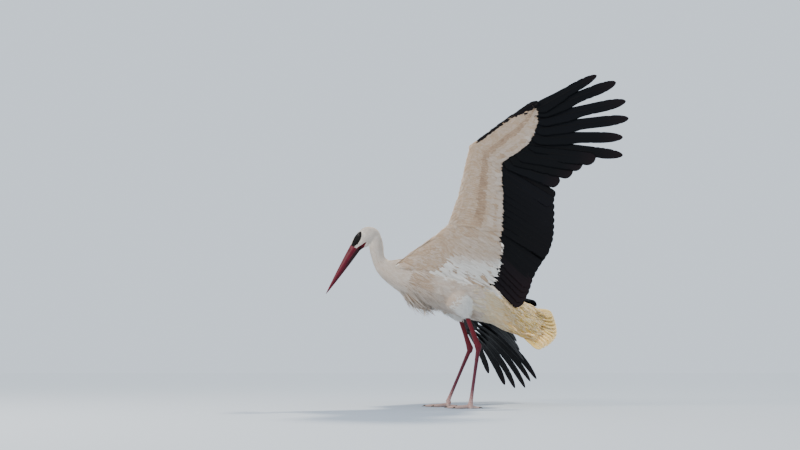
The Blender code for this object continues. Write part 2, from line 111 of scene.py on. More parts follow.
def wrapGrid(around, along, placeAt):
    # a grid whose points are put where placeAt says, welded along its seam
    bm = bmesh.new()
    bmesh.ops.create_grid(bm, x_segments=around, y_segments=along, size=0.5)
    for vert in bm.verts:
        vert.co = placeAt(vert.co.x + 0.5, vert.co.y + 0.5)
    bmesh.ops.remove_doubles(bm, verts=bm.verts, dist=0.000002)
    return bm


def closedMesh(name, bm):
    # closes the open ends and turns every face outwards
    bmesh.ops.holes_fill(bm, edges=bm.edges, sides=0)
    bmesh.ops.recalc_face_normals(bm, faces=bm.faces)
    return meshOf(name, bm)


def addValues(mesh, **values):
    # one number for each point of the mesh, which its material reads by name
    for key, numbers in values.items():
        data = mesh.attributes.new(key, "FLOAT", "POINT").data
        data.foreach_set("value", numpy.asarray(numbers, dtype=numpy.float32))


def newMaterial(name):
    material = bpy.data.materials.new(name)
    material.use_nodes = True
    tree = material.node_tree
    return material, tree, tree.nodes["Principled BSDF"], addNode(tree, "TexCoord", {}, "Object")


def setInputs(tree, node, inputs):
    # each input takes a value, or another node's output
    for key, value in inputs.items():
        if isinstance(value, bpy.types.NodeSocket):
            tree.links.new(value, node.inputs[key])
        else:
            node.inputs[key].default_value = value


def addNode(tree, kind, inputs, output=0, stops=(), **settings):
    # adds one node with its settings, links and ramp stops, and gives the output that is asked for
    node = tree.nodes.new("ShaderNode" + kind)
    for key, value in settings.items():
        setattr(node, key, value)
    while stops and len(node.color_ramp.elements) < len(stops):
        node.color_ramp.elements.new(0.5)
    for i, (place, colour) in enumerate(stops):
        node.color_ramp.elements[i].position = place
        node.color_ramp.elements[i].color = linear(colour)
    setInputs(tree, node, inputs)
    return node.outputs[output]


def featherMaterial(name, settings):
    material, tree, shader, place = newMaterial(name)
    # barbs leave the shaft at about 35 degrees and run to the edge: the vane map is in metres
    vane = addNode(tree, "UVMap", {}, uv_map="vane")
    alongShaft = addNode(tree, "SeparateXYZ", {0: vane}, "Y")
    across = addNode(tree, "Math", {0: addNode(tree, "SeparateXYZ", {0: vane}, "X")}, operation="ABSOLUTE")
    slant = addNode(tree, "Math", {0: across, 1: -1.4, 2: alongShaft}, operation="MULTIPLY_ADD")
    turns = addNode(tree, "Math", {0: slant, 1: 2 * math.pi / settings["barbSpacing"]}, operation="MULTIPLY")
    wave = addNode(tree, "Math", {0: turns}, operation="SINE")
    barbs = addNode(tree, "Math", {0: wave, 1: 0.5, 2: 0.5}, operation="MULTIPLY_ADD")
    # the stain, which also carries painted shade and a painted glow of light, is blotchy, and where it is
    # strongest it turns to its deep colour
    blotch = addNode(tree, "TexNoise", {
        "Vector": place, "Scale": 1 / settings["blotchSize"], "Detail": 3, "Roughness": 0.6})
    uneven = addNode(tree, "Math", {0: blotch, 1: 0.5, 2: 0.75}, operation="MULTIPLY_ADD")
    stain = addNode(tree, "Attribute", {}, "Fac", attribute_name="stain")
    stain = addNode(tree, "Math", {0: stain, 1: uneven}, operation="MULTIPLY")
    deep = addNode(tree, "Math", {0: stain, 1: 1.0}, operation="SUBTRACT")
    shaft = addNode(tree, "Math", {0: across, 1: settings["shaftWidth"] / 2}, operation="LESS_THAN")
    shaft = addNode(tree, "Math", {0: shaft, 1: settings["shaftShow"]}, operation="MULTIPLY")
    gaps = addNode(tree, "Math", {0: 1.0, 1: barbs}, operation="SUBTRACT")
    gaps = addNode(tree, "Math", {0: gaps, 1: settings["barbShow"]}, operation="MULTIPLY")
    tone = addNode(tree, "Attribute", {}, "Fac", attribute_name="tone")
    colour = addNode(tree, "ValToRGB", {"Fac": tone}, stops=[
        (0, settings["dark"]), (0.5, settings["middle"]), (1, settings["light"])])
    for share, key, blend in ((stain, "stain", "MIX"), (deep, "deepStainAndPaintedLight", "MIX"), (shaft, "shaft", "MIX"),
                              (gaps, "barb", "MULTIPLY")):
        colour = addNode(tree, "Mix", {0: share, 6: colour, 7: linear(settings[key])}, 2,
                         data_type="RGBA", blend_type=blend)
    setInputs(tree, shader, {
        "Base Color": colour, "Roughness": settings["roughness"], "Specular IOR Level": settings["specular"],
        "Sheen Weight": settings["sheen"], "Sheen Roughness": 0.4,
        "Subsurface Weight": settings["scatter"], "Subsurface Radius": (1.0, 0.85, 0.7),
        "Subsurface Scale": 0.004,  # light spreads about 4 mm in piled vanes
        "Normal": addNode(tree, "Bump", {"Height": barbs, "Strength": settings["bump"], "Distance": 0.0003})})
    return material


# white contour feathers: keratin vanes with soft, matt barbs, creamy; their buff on the breast and underside
# is partly soiling and partly painted warm shade, and the deep colour also paints the shadow in the
# underwing's furrow
whiteFeather = featherMaterial("white contour feather", {
    "dark": "#DCD8D0", "middle": "#EDEAE3", "light": "#F8F6F1", "stain": "#BFA287", "deepStainAndPaintedLight": "#6E4A2E",
    "shaft": "#FBF8F0", "shaftWidth": 0.0005, "shaftShow": 0.35, "barb": "#D9CFBF",
    "barbSpacing": 0.0011,  # real barbs stand 0.4 mm apart, drawn coarser so that they show
    "barbShow": 0.30, "blotchSize": 0.02, "roughness": 0.75, "sheen": 0.20, "specular": 0.20, "bump": 0.20,
    "scatter": 0.35,
})
# tail feathers: the same white keratin, with a painted warm glow of light shining through the thin vanes
tailFeather = featherMaterial("white tail feather", {
    "dark": "#E8E2D2", "middle": "#F2EDDF", "light": "#FBF8EF", "stain": "#E6B552", "deepStainAndPaintedLight": "#9A7A3C",
    "shaft": "#FBF6E4", "shaftWidth": 0.0014, "shaftShow": 0.6, "barb": "#DCC998",
    "barbSpacing": 0.0020, "barbShow": 0.40, "blotchSize": 0.03, "roughness": 0.7, "sheen": 0.2,
    "specular": 0.25, "bump": 0.30, "scatter": 0.55,
})
# black flight feathers: melanin-black keratin, satin, with a blue-green gloss, browner towards the tips
blackFeather = featherMaterial("black flight feather", {
    "dark": "#020305", "middle": "#05070C", "light": "#0A0D15", "stain": "#26161B", "deepStainAndPaintedLight": "#26161B",
    "shaft": "#120E0D", "shaftWidth": 0.0020, "shaftShow": 0.7, "barb": "#020307",
    "barbSpacing": 0.0022, "barbShow": 0.5, "blotchSize": 0.04, "roughness": 0.5, "sheen": 0.0,
    "specular": 0.12, "bump": 0.4, "scatter": 0.0,
})
whiteLook, tailLook = ("white_plumage", whiteFeather), ("white_plumage", tailFeather)
blackLook = ("black_feathers", blackFeather)


# the form: one closed surface over every flesh node, remeshed so that no seam is left

fleshNodes = ["head", "neck_upper", "neck_lower", "breast_plumes", "trunk", "rump"]
for sideName in ("left", "right"):
    fleshNodes += [f"{sideName}_{part}" for part in ("upper_arm", "forearm", "hand", "thigh")]
formSettings = {"voxel": 0.0024, "swell": 0.0004, "smoothing": 3}
partMoves = {"breast_plumes": Vector((0.004, 0, 0.013))}  # its lower edge is made by loose plumes
partSwells = {"left_thigh": 0.0030, "right_thigh": 0.0030}


def remeshed(name, sources, voxel, swell, smoothing, balls=()):
    # one closed surface over several nodes, with balls where two of them would leave a notch
    bm = bmesh.new()
    for centre, radius in balls:
        bmesh.ops.create_icosphere(bm, subdivisions=3, radius=radius, matrix=Matrix.Translation(centre))
    for source in sources:
        part = bmesh.new()
        part.from_mesh(nodes[source].data)
        bmesh.ops.remove_doubles(part, verts=part.verts, dist=0.00001)
        part.normal_update()
        for vert in part.verts:
            vert.co += vert.normal * partSwells.get(source, swell) + partMoves.get(source, Vector())
        loose = bpy.data.meshes.new("loose")
        part.to_mesh(loose)
        part.free()
        bm.from_mesh(loose)
        bpy.data.meshes.remove(loose)
    obj = bpy.data.objects.new(name, meshOf(name, bm))
    bpy.context.collection.objects.link(obj)
    remesh = obj.modifiers.new("remesh", "REMESH")
    remesh.mode = "VOXEL"
    remesh.voxel_size = voxel
    mesh = bpy.data.meshes.new_from_object(obj.evaluated_get(bpy.context.evaluated_depsgraph_get()))
    bpy.data.objects.remove(obj)
    bm = bmesh.new()
    bm.from_mesh(mesh)
    bpy.data.meshes.remove(mesh)
    for _ in range(smoothing):
        bmesh.ops.smooth_vert(bm, verts=bm.verts, factor=0.5, use_axis_x=True, use_axis_y=True,
                              use_axis_z=True)
    bm.normal_update()
    return bm


fleshCorners, fleshFaces, fleshOwner = [], [], []
for name in fleshNodes:
    source = nodes[name].data
    offset = len(fleshCorners)
    fleshCorners += [v.co.copy() for v in source.vertices]
    fleshFaces += [[offset + i for i in face.vertices] for face in source.polygons]
    fleshOwner += [name] * len(source.polygons)
fleshTree = BVHTree.FromPolygons(fleshCorners, fleshFaces)
formMesh = remeshed("form", fleshNodes + ["eye_left", "eye_right"], **formSettings)
formTree = BVHTree.FromBMesh(formMesh)
print("form:", len(formMesh.faces), "faces")


def ownerOf(place):
    return fleshOwner[fleshTree.find_nearest(place)[2]]


def nearestForm(place):
    # the nearest point of the form and the way it faces
    return formTree.find_nearest(place)[:2]


# how far the feathers stand over the skin
coatDepth = {"head": 0.0006, "neck_upper": 0.0010, "neck_lower": 0.0020, "breast_plumes": 0.0100,
             "trunk": 0.0040, "rump": 0.0036, "left_thigh": 0.0030, "right_thigh": 0.0030}


def depthAt(owner):
    return coatDepth.get(owner, 0.0018)


# markings shared by the skin and the feathers: the bare black face, widened towards the forehead with painted
# shade, and the red gape

# the high edge stands above the bare skin's own edge, so the strip towards the forehead is painted shade
facePatch = {"back": [-0.010, 0.000, 0.012, 0.026, 0.039, 0.048, 0.054],  # from the bill's base past the eye
             "low": [0.0030, 0.0016, -0.0020, -0.0034, 0.0000, 0.0056, 0.0112],
             "high": [0.0160, 0.0168, 0.0198, 0.0226, 0.0214, 0.0172, 0.0112]}
jawStrip = {"start": -0.0045, "slope": 0.48, "end": 0.032, "lowest": -0.0235}  # runs back from the gape
outsideMark = -0.001


def inFace(back, rise):
    # above 0 inside the bare black patch, in metres
    if back > facePatch["back"][-1]:
        return outsideMark
    low, high = (float(numpy.interp(back, facePatch["back"], facePatch[key])) for key in ("low", "high"))
    return min(rise - low, high - rise)


def inJaw(back, rise):
    # above 0 on the red skin along the jaw
    if back > jawStrip["end"] or rise < jawStrip["lowest"]:
        return outsideMark
    return jawStrip["start"] - jawStrip["slope"] * (back + 0.002) - rise


def headPlace(place):
    # how far behind the bill's base, above the bill's axis and to the side
    reach = place - billBase
    return -reach.dot(billAxis), reach.dot(crownAxis), reach.y


# the tail's place, and the wings' bones, chords and thickness

tail = {"root": at(0.150, 0, 0.322), "pitch": -25.7, "roll": 46, "spread": 27, "length": 0.215,
        "feathers": 12, "start": 0.055, "camber": 0.15, "clear": 0.0030}
tailAxis = Vector((math.cos(math.radians(tail["pitch"])), 0, math.sin(math.radians(tail["pitch"]))))
tailLeft = Matrix.Rotation(math.radians(tail["roll"]), 3, tailAxis) @ Vector((0, -1, 0))
tailUnder = tailLeft.cross(tailAxis)
# both wings: shoulder, elbow and wrist, then the ways of the hand, chords and slotted tips (degrees)
wingPlaces = {
    "left": {
        "joints": [(-0.100, -0.050, 0.440), (0.030, -0.098, 0.575), (0.066, -0.130, 0.820)],
        "hand": (0.800, -0.12, 0.584), "trail": (0.582, 0.05, -0.813),
        "chords": [(0.990, -0.06, -0.12), (0.995, -0.04, -0.07), (0.875, 0.02, -0.485)],
        "spread": [6.4, 12.1, 19.8, 26.1, 32.8, 39.7, 41.6, 45.2, 50.4, 58.2], "camber": 0.11, "turned": -1,
        "twist": 0, "slim": 1.0, "worn": 0.022, "darkFrom": 4.0,
    },
    "right": {
        "joints": [(-0.100, 0.050, 0.430), (0.053, 0.166, 0.390), (0.010, 0.400, 0.430)],
        "hand": (0.304, 0.673, -0.674), "trail": (0.691, -0.643, -0.330),
        "chords": [(0.975, 0.08, -0.13), (0.955, 0.17, -0.22), (0.900, -0.20, -0.38)],
        "spread": [6.4, 14.4, 20.6, 28.3, 36.0, 41.9, 46.5, 52.0, 58.5, 66.0], "camber": 0.24, "turned": 1,
        "twist": 20, "slim": 0.88, "worn": 0.070, "darkFrom": 2.35,
    },
}
armRows = [  # along the bones, reach before and behind them, thickness
    (0.00, 0.090, 0.235, 0.056), (0.33, 0.078, 0.208, 0.048), (0.66, 0.058, 0.168, 0.038),
    (1.00, 0.046, 0.132, 0.032), (1.33, 0.027, 0.124, 0.027), (1.66, 0.021, 0.114, 0.024),
    (2.00, 0.014, 0.100, 0.023), (2.33, 0.012, 0.100, 0.017), (2.66, 0.012, 0.104, 0.013),
    (3.00, 0.010, 0.082, 0.010), (3.20, 0.008, 0.054, 0.008), (3.35, 0.004, 0.020, 0.006)]
primaryRoots = [(3.34, 0.458), (3.30, 0.501), (3.22, 0.508), (3.10, 0.503), (2.97, 0.477),
                (2.80, 0.476), (2.62, 0.392), (2.46, 0.354), (2.30, 0.328), (2.15, 0.298)]
handLength = 0.175
edgeShare = (1 - math.cos(math.pi / 12)) / 2
innerLean = {"from": 2.03, "to": 0.62, "least": 3, "more": 34}  # places along the bones, then degrees inwards


class Wing:
    def __init__(self, joints, hand, trail, chords, spread, camber, turned, twist, slim, worn, darkFrom):
        self.hand = Vector(hand).normalized()
        self.trail = (Vector(trail) - self.hand * self.hand.dot(Vector(trail))).normalized()
        self.joints = [at(*joint) for joint in joints]
        self.joints.append(self.joints[2] + self.hand * handLength)
        self.chords = [Vector(chord).normalized() for chord in chords] + [self.trail]
        self.turned, self.spread, self.camber, self.darkFrom = turned, spread, camber, darkFrom
        self.twist, self.slim, self.worn = math.radians(twist), slim, worn

    def bone(self, along):
        i = min(int(along), 2)
        return self.joints[i].lerp(self.joints[i + 1], along - i)

    def boneLength(self, along):
        i = min(int(along), 2)
        return (self.joints[i + 1] - self.joints[i]).length

    def chord(self, along):
        i = min(int(along), 2)
        return self.chords[i].lerp(self.chords[i + 1], min(along - i, 1)).normalized()

    def outward(self, along):
        way = self.bone(along + 0.01) - self.bone(max(along - 0.01, 0))
        chord = self.chord(along)
        return (way - chord * way.dot(chord)).normalized()

    def under(self, along):
        return self.outward(along).cross(self.chord(along)) * self.turned

    def size(self, along):
        for a, b in zip(armRows, armRows[1:]):
            if a[0] <= along <= b[0]:
                share = (along - a[0]) / (b[0] - a[0])
                return [between(a[i], b[i], share) for i in (1, 2, 3)]

    def rear(self, along):
        lead, rear, thick = self.size(along)
        return self.bone(along) + self.chord(along) * (rear - edgeShare * (lead + rear))

    def tip(self, distance, degrees):
        angle = math.radians(degrees)
        return self.joints[2] + (self.hand * math.cos(angle) + self.trail * math.sin(angle)) * distance

    def skinPlace(self, along, share, isUnder):
        lead, rear, thick = self.size(along)
        depth = 0.002 + (thick / 2 - 0.002) * 1.9 * math.sqrt(share) * (1 - share) ** 0.8
        side = self.under(along) * (depth if isUnder else -depth)
        return self.bone(along) + self.chord(along) * (-lead + (lead + rear) * share) + side

    def primaries(self):
        return [(self.rear(along), self.tip(distance, angle), self.under(min(along, 2.99)))
                for (along, distance), angle in zip(primaryRoots, self.spread)]

    def leaning(self, along, share):
        lean = math.radians(innerLean["least"] + innerLean["more"] * min(share, 1.1))
        return self.chord(along) * math.cos(lean) - self.outward(along) * math.sin(lean)

    def inner(self):
        lines = []
        for i in range(19):
            share = i / 13
            along = innerLean["from"] + (innerLean["to"] - innerLean["from"]) * share
            worn = self.worn * float(smooth(0.45, 1.0, share))  # the inner ones are worn shorter
            tip = self.rear(along) + self.leaning(along, share) * (0.205 - 0.032 * share - worn)
            lines.append((self.rear(along), tip, self.under(along)))
        return lines

    def lie(self, along):
        # the way that the flight feathers behind this place point
        start = innerLean["from"]
        if along <= start:
            return self.leaning(along, (start - along) / (start - innerLean["to"]))
        ways = [(tip - root).normalized() for root, tip, under in self.primaries()]
        roots = sorted(zip([root[0] for root in primaryRoots], ways), key=lambda row: row[0])
        roots.insert(0, (start, self.chord(start)))
        for (a, first), (b, second) in zip(roots, roots[1:]):
            if a <= along <= b:
                return first.lerp(second, (along - a) / (b - a)).normalized()
        return roots[-1][1]


wings = {sideName: Wing(**places) for sideName, places in wingPlaces.items()}


# body feathers
spineLine = [at(*place) for place in (
    (-0.311, 0, 0.517), (-0.286, 0, 0.556), (-0.262, 0, 0.570), (-0.247, 0, 0.548), (-0.2425, 0, 0.515),
    (-0.2385, 0, 0.490), (-0.2300, 0, 0.467), (-0.2090, 0, 0.446), (-0.1720, 0, 0.432),
    (-0.1250, 0, 0.418), (-0.0650, 0, 0.398), (0, 0, 0.378), (0.0650, 0, 0.356), (0.1250, 0, 0.332),
    (0.1700, 0, 0.312), (0.2150, 0, 0.291), (0.2800, 0, 0.260))]
spineMiddles = numpy.array([(a + b) / 2 for a, b in zip(spineLine, spineLine[1:])])
spineWays = numpy.array([(b - a).normalized() for a, b in zip(spineLine, spineLine[1:])])
spineReach = numpy.array([0.016] * 4 + [0.022] * 3 + [0.035] * 2 + [0.06] * 7)
legWays = {"left_thigh": Vector((0.040, -0.008, -0.075)).normalized(),
           "right_thigh": Vector((0.037, 0.010, -0.070)).normalized()}


def alongBody(place, start, end):
    # 0 before the start and 1 beyond the end, both given in the bird's own frame
    return float(smooth(at(start, 0, 0).x, at(end, 0, 0).x, place.x))


def spineFlow(place, owner):
    # which way a feather lies: along the spine near it, then down the leg or out over the tail
    away = numpy.linalg.norm(spineMiddles - numpy.array(place), axis=1)
    weight = numpy.exp(-(away / spineReach) ** 2) + 1e-9
    way = Vector(weight @ spineWays)
    if owner == "rump":
        fan = (place - tail["root"] + tailAxis * 0.10).normalized()  # spreads with the tail
        way = way.normalized().lerp(fan, alongBody(place, 0.13, 0.20))
    if owner in legWays:
        way = way.normalized() * 0.25 + legWays[owner]
    if owner == "breast_plumes":
        way = way.normalized() * 0.5 + Vector((0.45, 0, -0.45))
    return way


# feathers of one kind: lengths in metres, the lift at the tip, ruffle and stain as shares, the stain partly
# real soiling and partly painted warm shade
kindColumns = ("spacing", "length", "half", "lift", "ruffle", "stain")
bodyKinds = {name: dict(zip(kindColumns, row)) for name, row in {
    "face": (0.0014, 0.0062, 0.0009, 0.0001, 0.25, 0.30),
    "crown": (0.0018, 0.0105, 0.0012, 0.0002, 0.30, 0.40),
    "nape": (0.0022, 0.0170, 0.0015, 0.0003, 0.35, 0.42),
    "neck": (0.0029, 0.0270, 0.0021, 0.0005, 0.50, 0.58),
    "breast": (0.0044, 0.0460, 0.0030, 0.0009, 0.70, 0.92),
    "plume": (0.0040, 0.0600, 0.0020, 0.0016, 1.20, 1.12),
    "flank": (0.0054, 0.0430, 0.0072, 0.0004, 0.30, 0.62),
    "belly": (0.0052, 0.0390, 0.0062, 0.0005, 0.35, 0.70),
    "back": (0.0058, 0.0450, 0.0086, 0.0003, 0.25, 0.05),
    "rump": (0.0058, 0.0560, 0.0080, 0.0004, 0.30, 0.00),
    "shoulder": (0.0050, 0.0380, 0.0050, 0.0004, 0.40, 0.88),
    "thigh": (0.0040, 0.0260, 0.0037, 0.0003, 0.30, 0.00),
}.items()}
kindOfNode = {"neck_upper": "nape", "neck_lower": "neck", "breast_plumes": "plume", "rump": "rump",
              "left_thigh": "thigh", "right_thigh": "thigh"}
bends = {"rump": 0.85, "thigh": 0.6}  # how soon they leave the form: the thigh's hang over the leg's top


def kindAt(place, normal, owner):
    if owner == "head":
        back, rise, side = headPlace(place)
        throat = back > 0.026 and rise < -0.006
        return "face" if back < 0.048 and not throat else "crown"
    if owner.endswith("upper_arm"):
        root, elbow = wings[owner.split("_")[0]].joints[:2]
        along = (place - root).dot(elbow - root) / (elbow - root).length_squared
        return "shoulder" if along < 0.42 else None
    if owner == "trunk":
        if place.x < at(-0.09, 0, 0).x and normal.z < 0.3:
            return "breast"
        return "back" if normal.z > 0.45 else ("belly" if normal.z < -0.45 else "flank")
    return kindOfNode.get(owner)


# one feather's shape: a small closed vane, its outline given row by row

class Template:
    # x runs across from -1 to 1, share along the shaft from 0 to 1, and z is -1 on the inner lower side
    def __init__(self, across, rows):
        self.rows = rows
        bm = bmesh.new()
        bmesh.ops.create_grid(bm, x_segments=across, y_segments=rows, size=1)
        back = bmesh.ops.duplicate(bm, geom=[*bm.verts, *bm.edges, *bm.faces])["geom"]
        under = [part for part in back if isinstance(part, bmesh.types.BMVert)]
        inner = [v for v in under if abs(v.co.x) < 0.999 and abs(v.co.y) < 0.999]
        bmesh.ops.translate(bm, verts=inner, vec=(0, 0, -1))
        bmesh.ops.reverse_faces(bm, faces=[part for part in back if isinstance(part, bmesh.types.BMFace)])
        bmesh.ops.remove_doubles(bm, verts=bm.verts, dist=0.0001)
        bm.verts.index_update()
        self.x = numpy.array([v.co.x for v in bm.verts])
        self.share = numpy.array([(v.co.y + 1) / 2 for v in bm.verts])
        self.z = numpy.array([v.co.z for v in bm.verts])
        self.row = numpy.rint(self.share * rows).astype(int)
        self.faces = numpy.array([[v.index for v in face.verts] for face in bm.faces])
        bm.free()


contour = Template(4, 5)
small = Template(2, 3)
outlines = {
    "round": [0.30, 0.78, 0.98, 1.0, 0.80, 0.24],
    "long": [0.45, 0.80, 1.0, 0.92, 0.62, 0.10],
    "plume": [0.50, 0.85, 1.0, 0.78, 0.44, 0.05],
    "tiny": [0.45, 1.0, 0.85, 0.18],
}


def buildVanes(name, template, feathers, outline, thickness, look):
    # feathers: dictionaries with spots, sides and normals along the shaft, half width, droop, tone
    count = len(feathers)
    spots = numpy.array([f["spots"] for f in feathers], dtype=float)
    sides = numpy.array([f["sides"] for f in feathers], dtype=float)
    normals = numpy.array([f["normals"] for f in feathers], dtype=float)
    halves = numpy.array([f["half"] for f in feathers])[:, None]
    droops = numpy.array([f["droop"] for f in feathers])[:, None]
    lengths = numpy.array([f["length"] for f in feathers])[:, None]
    profile = numpy.array(outlines[outline])[template.row][None, :]
    fringe = draw.uniform(-1, 1, (count, len(template.x))) * (template.share > 0.75) * 0.07
    fringe *= numpy.abs(template.x) > 0.2
    across = template.x[None, :] * profile * halves
    fall = droops * template.x[None, :] ** 2
    lift = template.z[None, :] * thickness - fall
    axis = spots[:, -1] - spots[:, -2]
    axis /= numpy.linalg.norm(axis, axis=1)[:, None]
    co = (spots[:, template.row] + sides[:, template.row] * across[:, :, None]
          + normals[:, template.row] * lift[:, :, None]
          + axis[:, None, :] * (fringe * lengths)[:, :, None])
    mesh = meshFromArrays(name, co.reshape(-1, 3), repeated(template.faces, count, len(template.x)))
    vertexOf = numpy.empty(len(mesh.loops), dtype=numpy.int32)
    mesh.loops.foreach_get("vertex_index", vertexOf)
    vane = numpy.stack([across, template.share[None, :] * lengths], axis=-1).reshape(-1, 2)
    addMap(mesh, "vane", vane[vertexOf])
    roots = numpy.array([f["patch"] for f in feathers])[:, None, :]
    patch = numpy.stack([template.x, template.share * 2 - 1], axis=-1)[None] * 0.0015
    addMap(mesh, "OFBake", (roots + patch).reshape(-1, 2)[vertexOf])
    crown = normals[:, template.row] + sides[:, template.row] * (template.x * 0.30)[None, :, None]
    crown /= numpy.linalg.norm(crown, axis=2)[:, :, None]
    facing = numpy.where((template.z[template.faces] < -0.5).any(axis=1), -1.0, 1.0)
    facing = numpy.tile(numpy.repeat(facing, 4), count)
    bodyNormals = crown.reshape(-1, 3)[vertexOf] * facing[:, None]
    addValues(mesh, **{key: numpy.repeat([f.get(key, 0.0) for f in feathers], len(template.x))
                       for key in ("tone", "stain")})
    newPiece(name, mesh, (), look[1])
    mesh.normals_split_custom_set(bodyNormals)
    print(f"{name}: {count} feathers, {count * len(template.faces) * 2} triangles")


def repeated(faces, count, size):
    return (faces[None] + (numpy.arange(count) * size)[:, None, None]).reshape(-1, faces.shape[1])


def meshFromArrays(name, co, faces):
    mesh = bpy.data.meshes.new(name)
    mesh.vertices.add(len(co))
    mesh.vertices.foreach_set("co", co.astype(numpy.float32).ravel())
    mesh.loops.add(faces.size)
    mesh.loops.foreach_set("vertex_index", faces.astype(numpy.int32).ravel())
    mesh.polygons.add(len(faces))
    mesh.polygons.foreach_set("loop_start", numpy.arange(0, faces.size, faces.shape[1], dtype=numpy.int32))
    mesh.update(calc_edges=True)
    mesh.validate()
    return mesh


def addMap(mesh, name, values):
    layer = mesh.uv_layers.new(name=name, do_init=False)
    layer.uv.foreach_set("vector", values.astype(numpy.float32).ravel())


def layFeather(spot, way, kind, rows, depth, length, half=None, bend=0.2, freeFrom=1.0, hang=0.0,
               keepOffTail=False):
    # walks over the form from the root, so that the feather lies along the body, and goes straight
    # on where the form turns away by more than the bend allows, or from the free share of its length
    half = half or kind["half"]
    spots, sides, normals = [], [], []
    place, normal = nearestForm(spot)
    rootNormal = normal.copy()
    tailSide = 1 if (place - tail["root"]).dot(tailUnder) > 0 else -1
    step = length / rows
    ruffle = float(draw.normal(0, kind["ruffle"]))
    lift = kind["lift"] * (1 + abs(ruffle))
    straight = False
    for k in range(rows + 1):
        share = k / rows
        flat = way - normal * way.dot(normal)
        if flat.length < 1e-5:
            return None
        flat.normalize()
        height = between(-depth, lift, min(1.0, share * 1.25))
        spots.append(place + normal * height)
        sides.append(flat.cross(normal))
        normals.append(normal.copy())
        if k < rows:
            following = place + flat * step
            spotNext, normalNext = nearestForm(following)
            if (spotNext - following).length > step * 0.7 or normalNext.dot(rootNormal) < bend:
                straight = True
            if straight or share >= freeFrom:
                flat = (flat + Vector((0, 0, -hang / rows))).normalized()
                spotNext, normalNext = place + flat * step, normal
            if keepOffTail:
                height = (spotNext - tail["root"]).dot(tailUnder)
                least = tail["clear"] if tailSide > 0 else -tail["clear"] - 0.003
                if (height - least) * tailSide < 0:  # runs on along the tail instead of through it
                    spotNext += tailUnder * (least - height)
                    normalNext = normalNext.lerp(tailUnder * tailSide, 0.5).normalized()
                    flat = (spotNext - place).normalized()
            place, normal = spotNext, normal.lerp(normalNext, 0.6).normalized()
            way = flat
    twist = float(draw.normal(0, 0.06 + 0.10 * kind["ruffle"]))
    sides = [side * math.cos(twist) + n * math.sin(twist) for side, n in zip(sides, normals)]
    drawnHalf = half * float(draw.uniform(0.85, 1.15))
    tone = float(numpy.clip(draw.normal(0.55, kind.get("toneSpread", 0.16)), 0, 1))
    stain = kind.get("stain", 0.0) * float(draw.uniform(0.8, 1.2))
    return {"spots": spots, "sides": sides, "normals": normals, "half": drawnHalf, "length": length,
            "droop": half * 0.07, "tone": tone, "stain": stain, "patch": patchAt(spot)}


# the skin, and its unwrap, where each feather's baked patch sits at its root

skinSettings = {"voxel": 0.0034, "swell": 0.0004, "smoothing": 2}
fineFace = {"front": -0.02, "back": 0.052, "rise": 0.03}  # a finer mesh round the bare patch
skinColours = {"down": "#EAE4D9", "downShade": "#D3C8B8", "bare": "#060506", "gape": "#560A1A"}


def buildSkin():
    bm = remeshed("skin", fleshNodes + ["eye_left", "eye_right"], **skinSettings)
    for _ in range(2):
        fine = set()
        for face in bm.faces:
            back, rise, side = headPlace(face.calc_center_median())
            if fineFace["front"] < back < fineFace["back"] and abs(rise) < fineFace["rise"]:
                fine.update(face.edges)
        bmesh.ops.subdivide_edges(bm, edges=list(fine), cuts=1, use_grid_fill=True, smooth=0.6)
    bm.normal_update()
    bm.verts.index_update()
    moves = [vert.normal * -depthAt(ownerOf(vert.co)) for vert in bm.verts]
    # the depth changes over a few millimetres where one region meets the next
    for _ in range(4):
        moves = [sum((moves[e.other_vert(v).index] for e in v.link_edges), moves[v.index] * 2)
                 / (len(v.link_edges) + 2) for v in bm.verts]
    for vert, move in zip(bm.verts, moves):
        vert.co += move
    return meshOf("skin", bm)


def skinMaterial():
    # plumage skin: matt and pale under the down, bare and black round the eye, where the black is widened
    # towards the forehead with painted shade, wine-red at the gape
    material, tree, shader, place = newMaterial("downy skin")
    fine = addNode(tree, "TexNoise", {"Vector": place, "Scale": 900.0, "Detail": 3})  # grains of 1.1 mm
    shade = addNode(tree, "Math", {0: fine, 1: 0.35}, operation="MULTIPLY")
    colour = addNode(tree, "Mix", {
        0: shade, 6: linear(skinColours["down"]), 7: linear(skinColours["downShade"])}, 2, data_type="RGBA")
    for mark, key in (("gape", "gape"), ("chin", "bare"), ("bare", "bare")):
        share = addNode(tree, "Attribute", {}, "Fac", attribute_name=mark)
        colour = addNode(tree, "Mix", {0: share, 6: colour, 7: linear(skinColours[key])}, 2, data_type="RGBA")
    setInputs(tree, shader, {
        "Base Color": colour, "Roughness": 0.7, "Specular IOR Level": 0.15,
        "Normal": addNode(tree, "Bump", {"Height": fine, "Strength": 0.4, "Distance": 0.0004})})
    return material


def softEdge(depth):
    # from 0 outside a marking to 1 inside it, over less than a millimetre
    return float(numpy.clip(depth / 0.0008 + 0.5, 0, 1))


skinMesh = buildSkin()
marks = {"bare": [], "gape": [], "chin": []}
for vert in skinMesh.vertices:
    back, rise, side = headPlace(vert.co)
    onFace = -0.03 < back < 0.07 and abs(rise) < 0.05
    # the bare mark also paints shade over the forehead's edge
    marks["bare"].append(softEdge(inFace(back, rise)) if onFace else 0.0)
    marks["gape"].append(softEdge(inJaw(back, rise)) if onFace else 0.0)
    marks["chin"].append(smooth(0.020, 0.002, back) * smooth(-0.009, -0.013, rise) if onFace else 0.0)
addValues(skinMesh, **marks)
skinPiece = newPiece("skin", skinMesh, fleshNodes, skinMaterial())
skinMesh.uv_layers.new(name="OFBake")
bpy.context.view_layer.objects.active = skinPiece
skinPiece.select_set(True)
bpy.ops.object.mode_set(mode="EDIT")
bpy.ops.mesh.select_all(action="SELECT")
bpy.ops.uv.smart_project(angle_limit=math.radians(66), island_margin=0.004)
bpy.ops.object.mode_set(mode="OBJECT")
skinPiece.select_set(False)
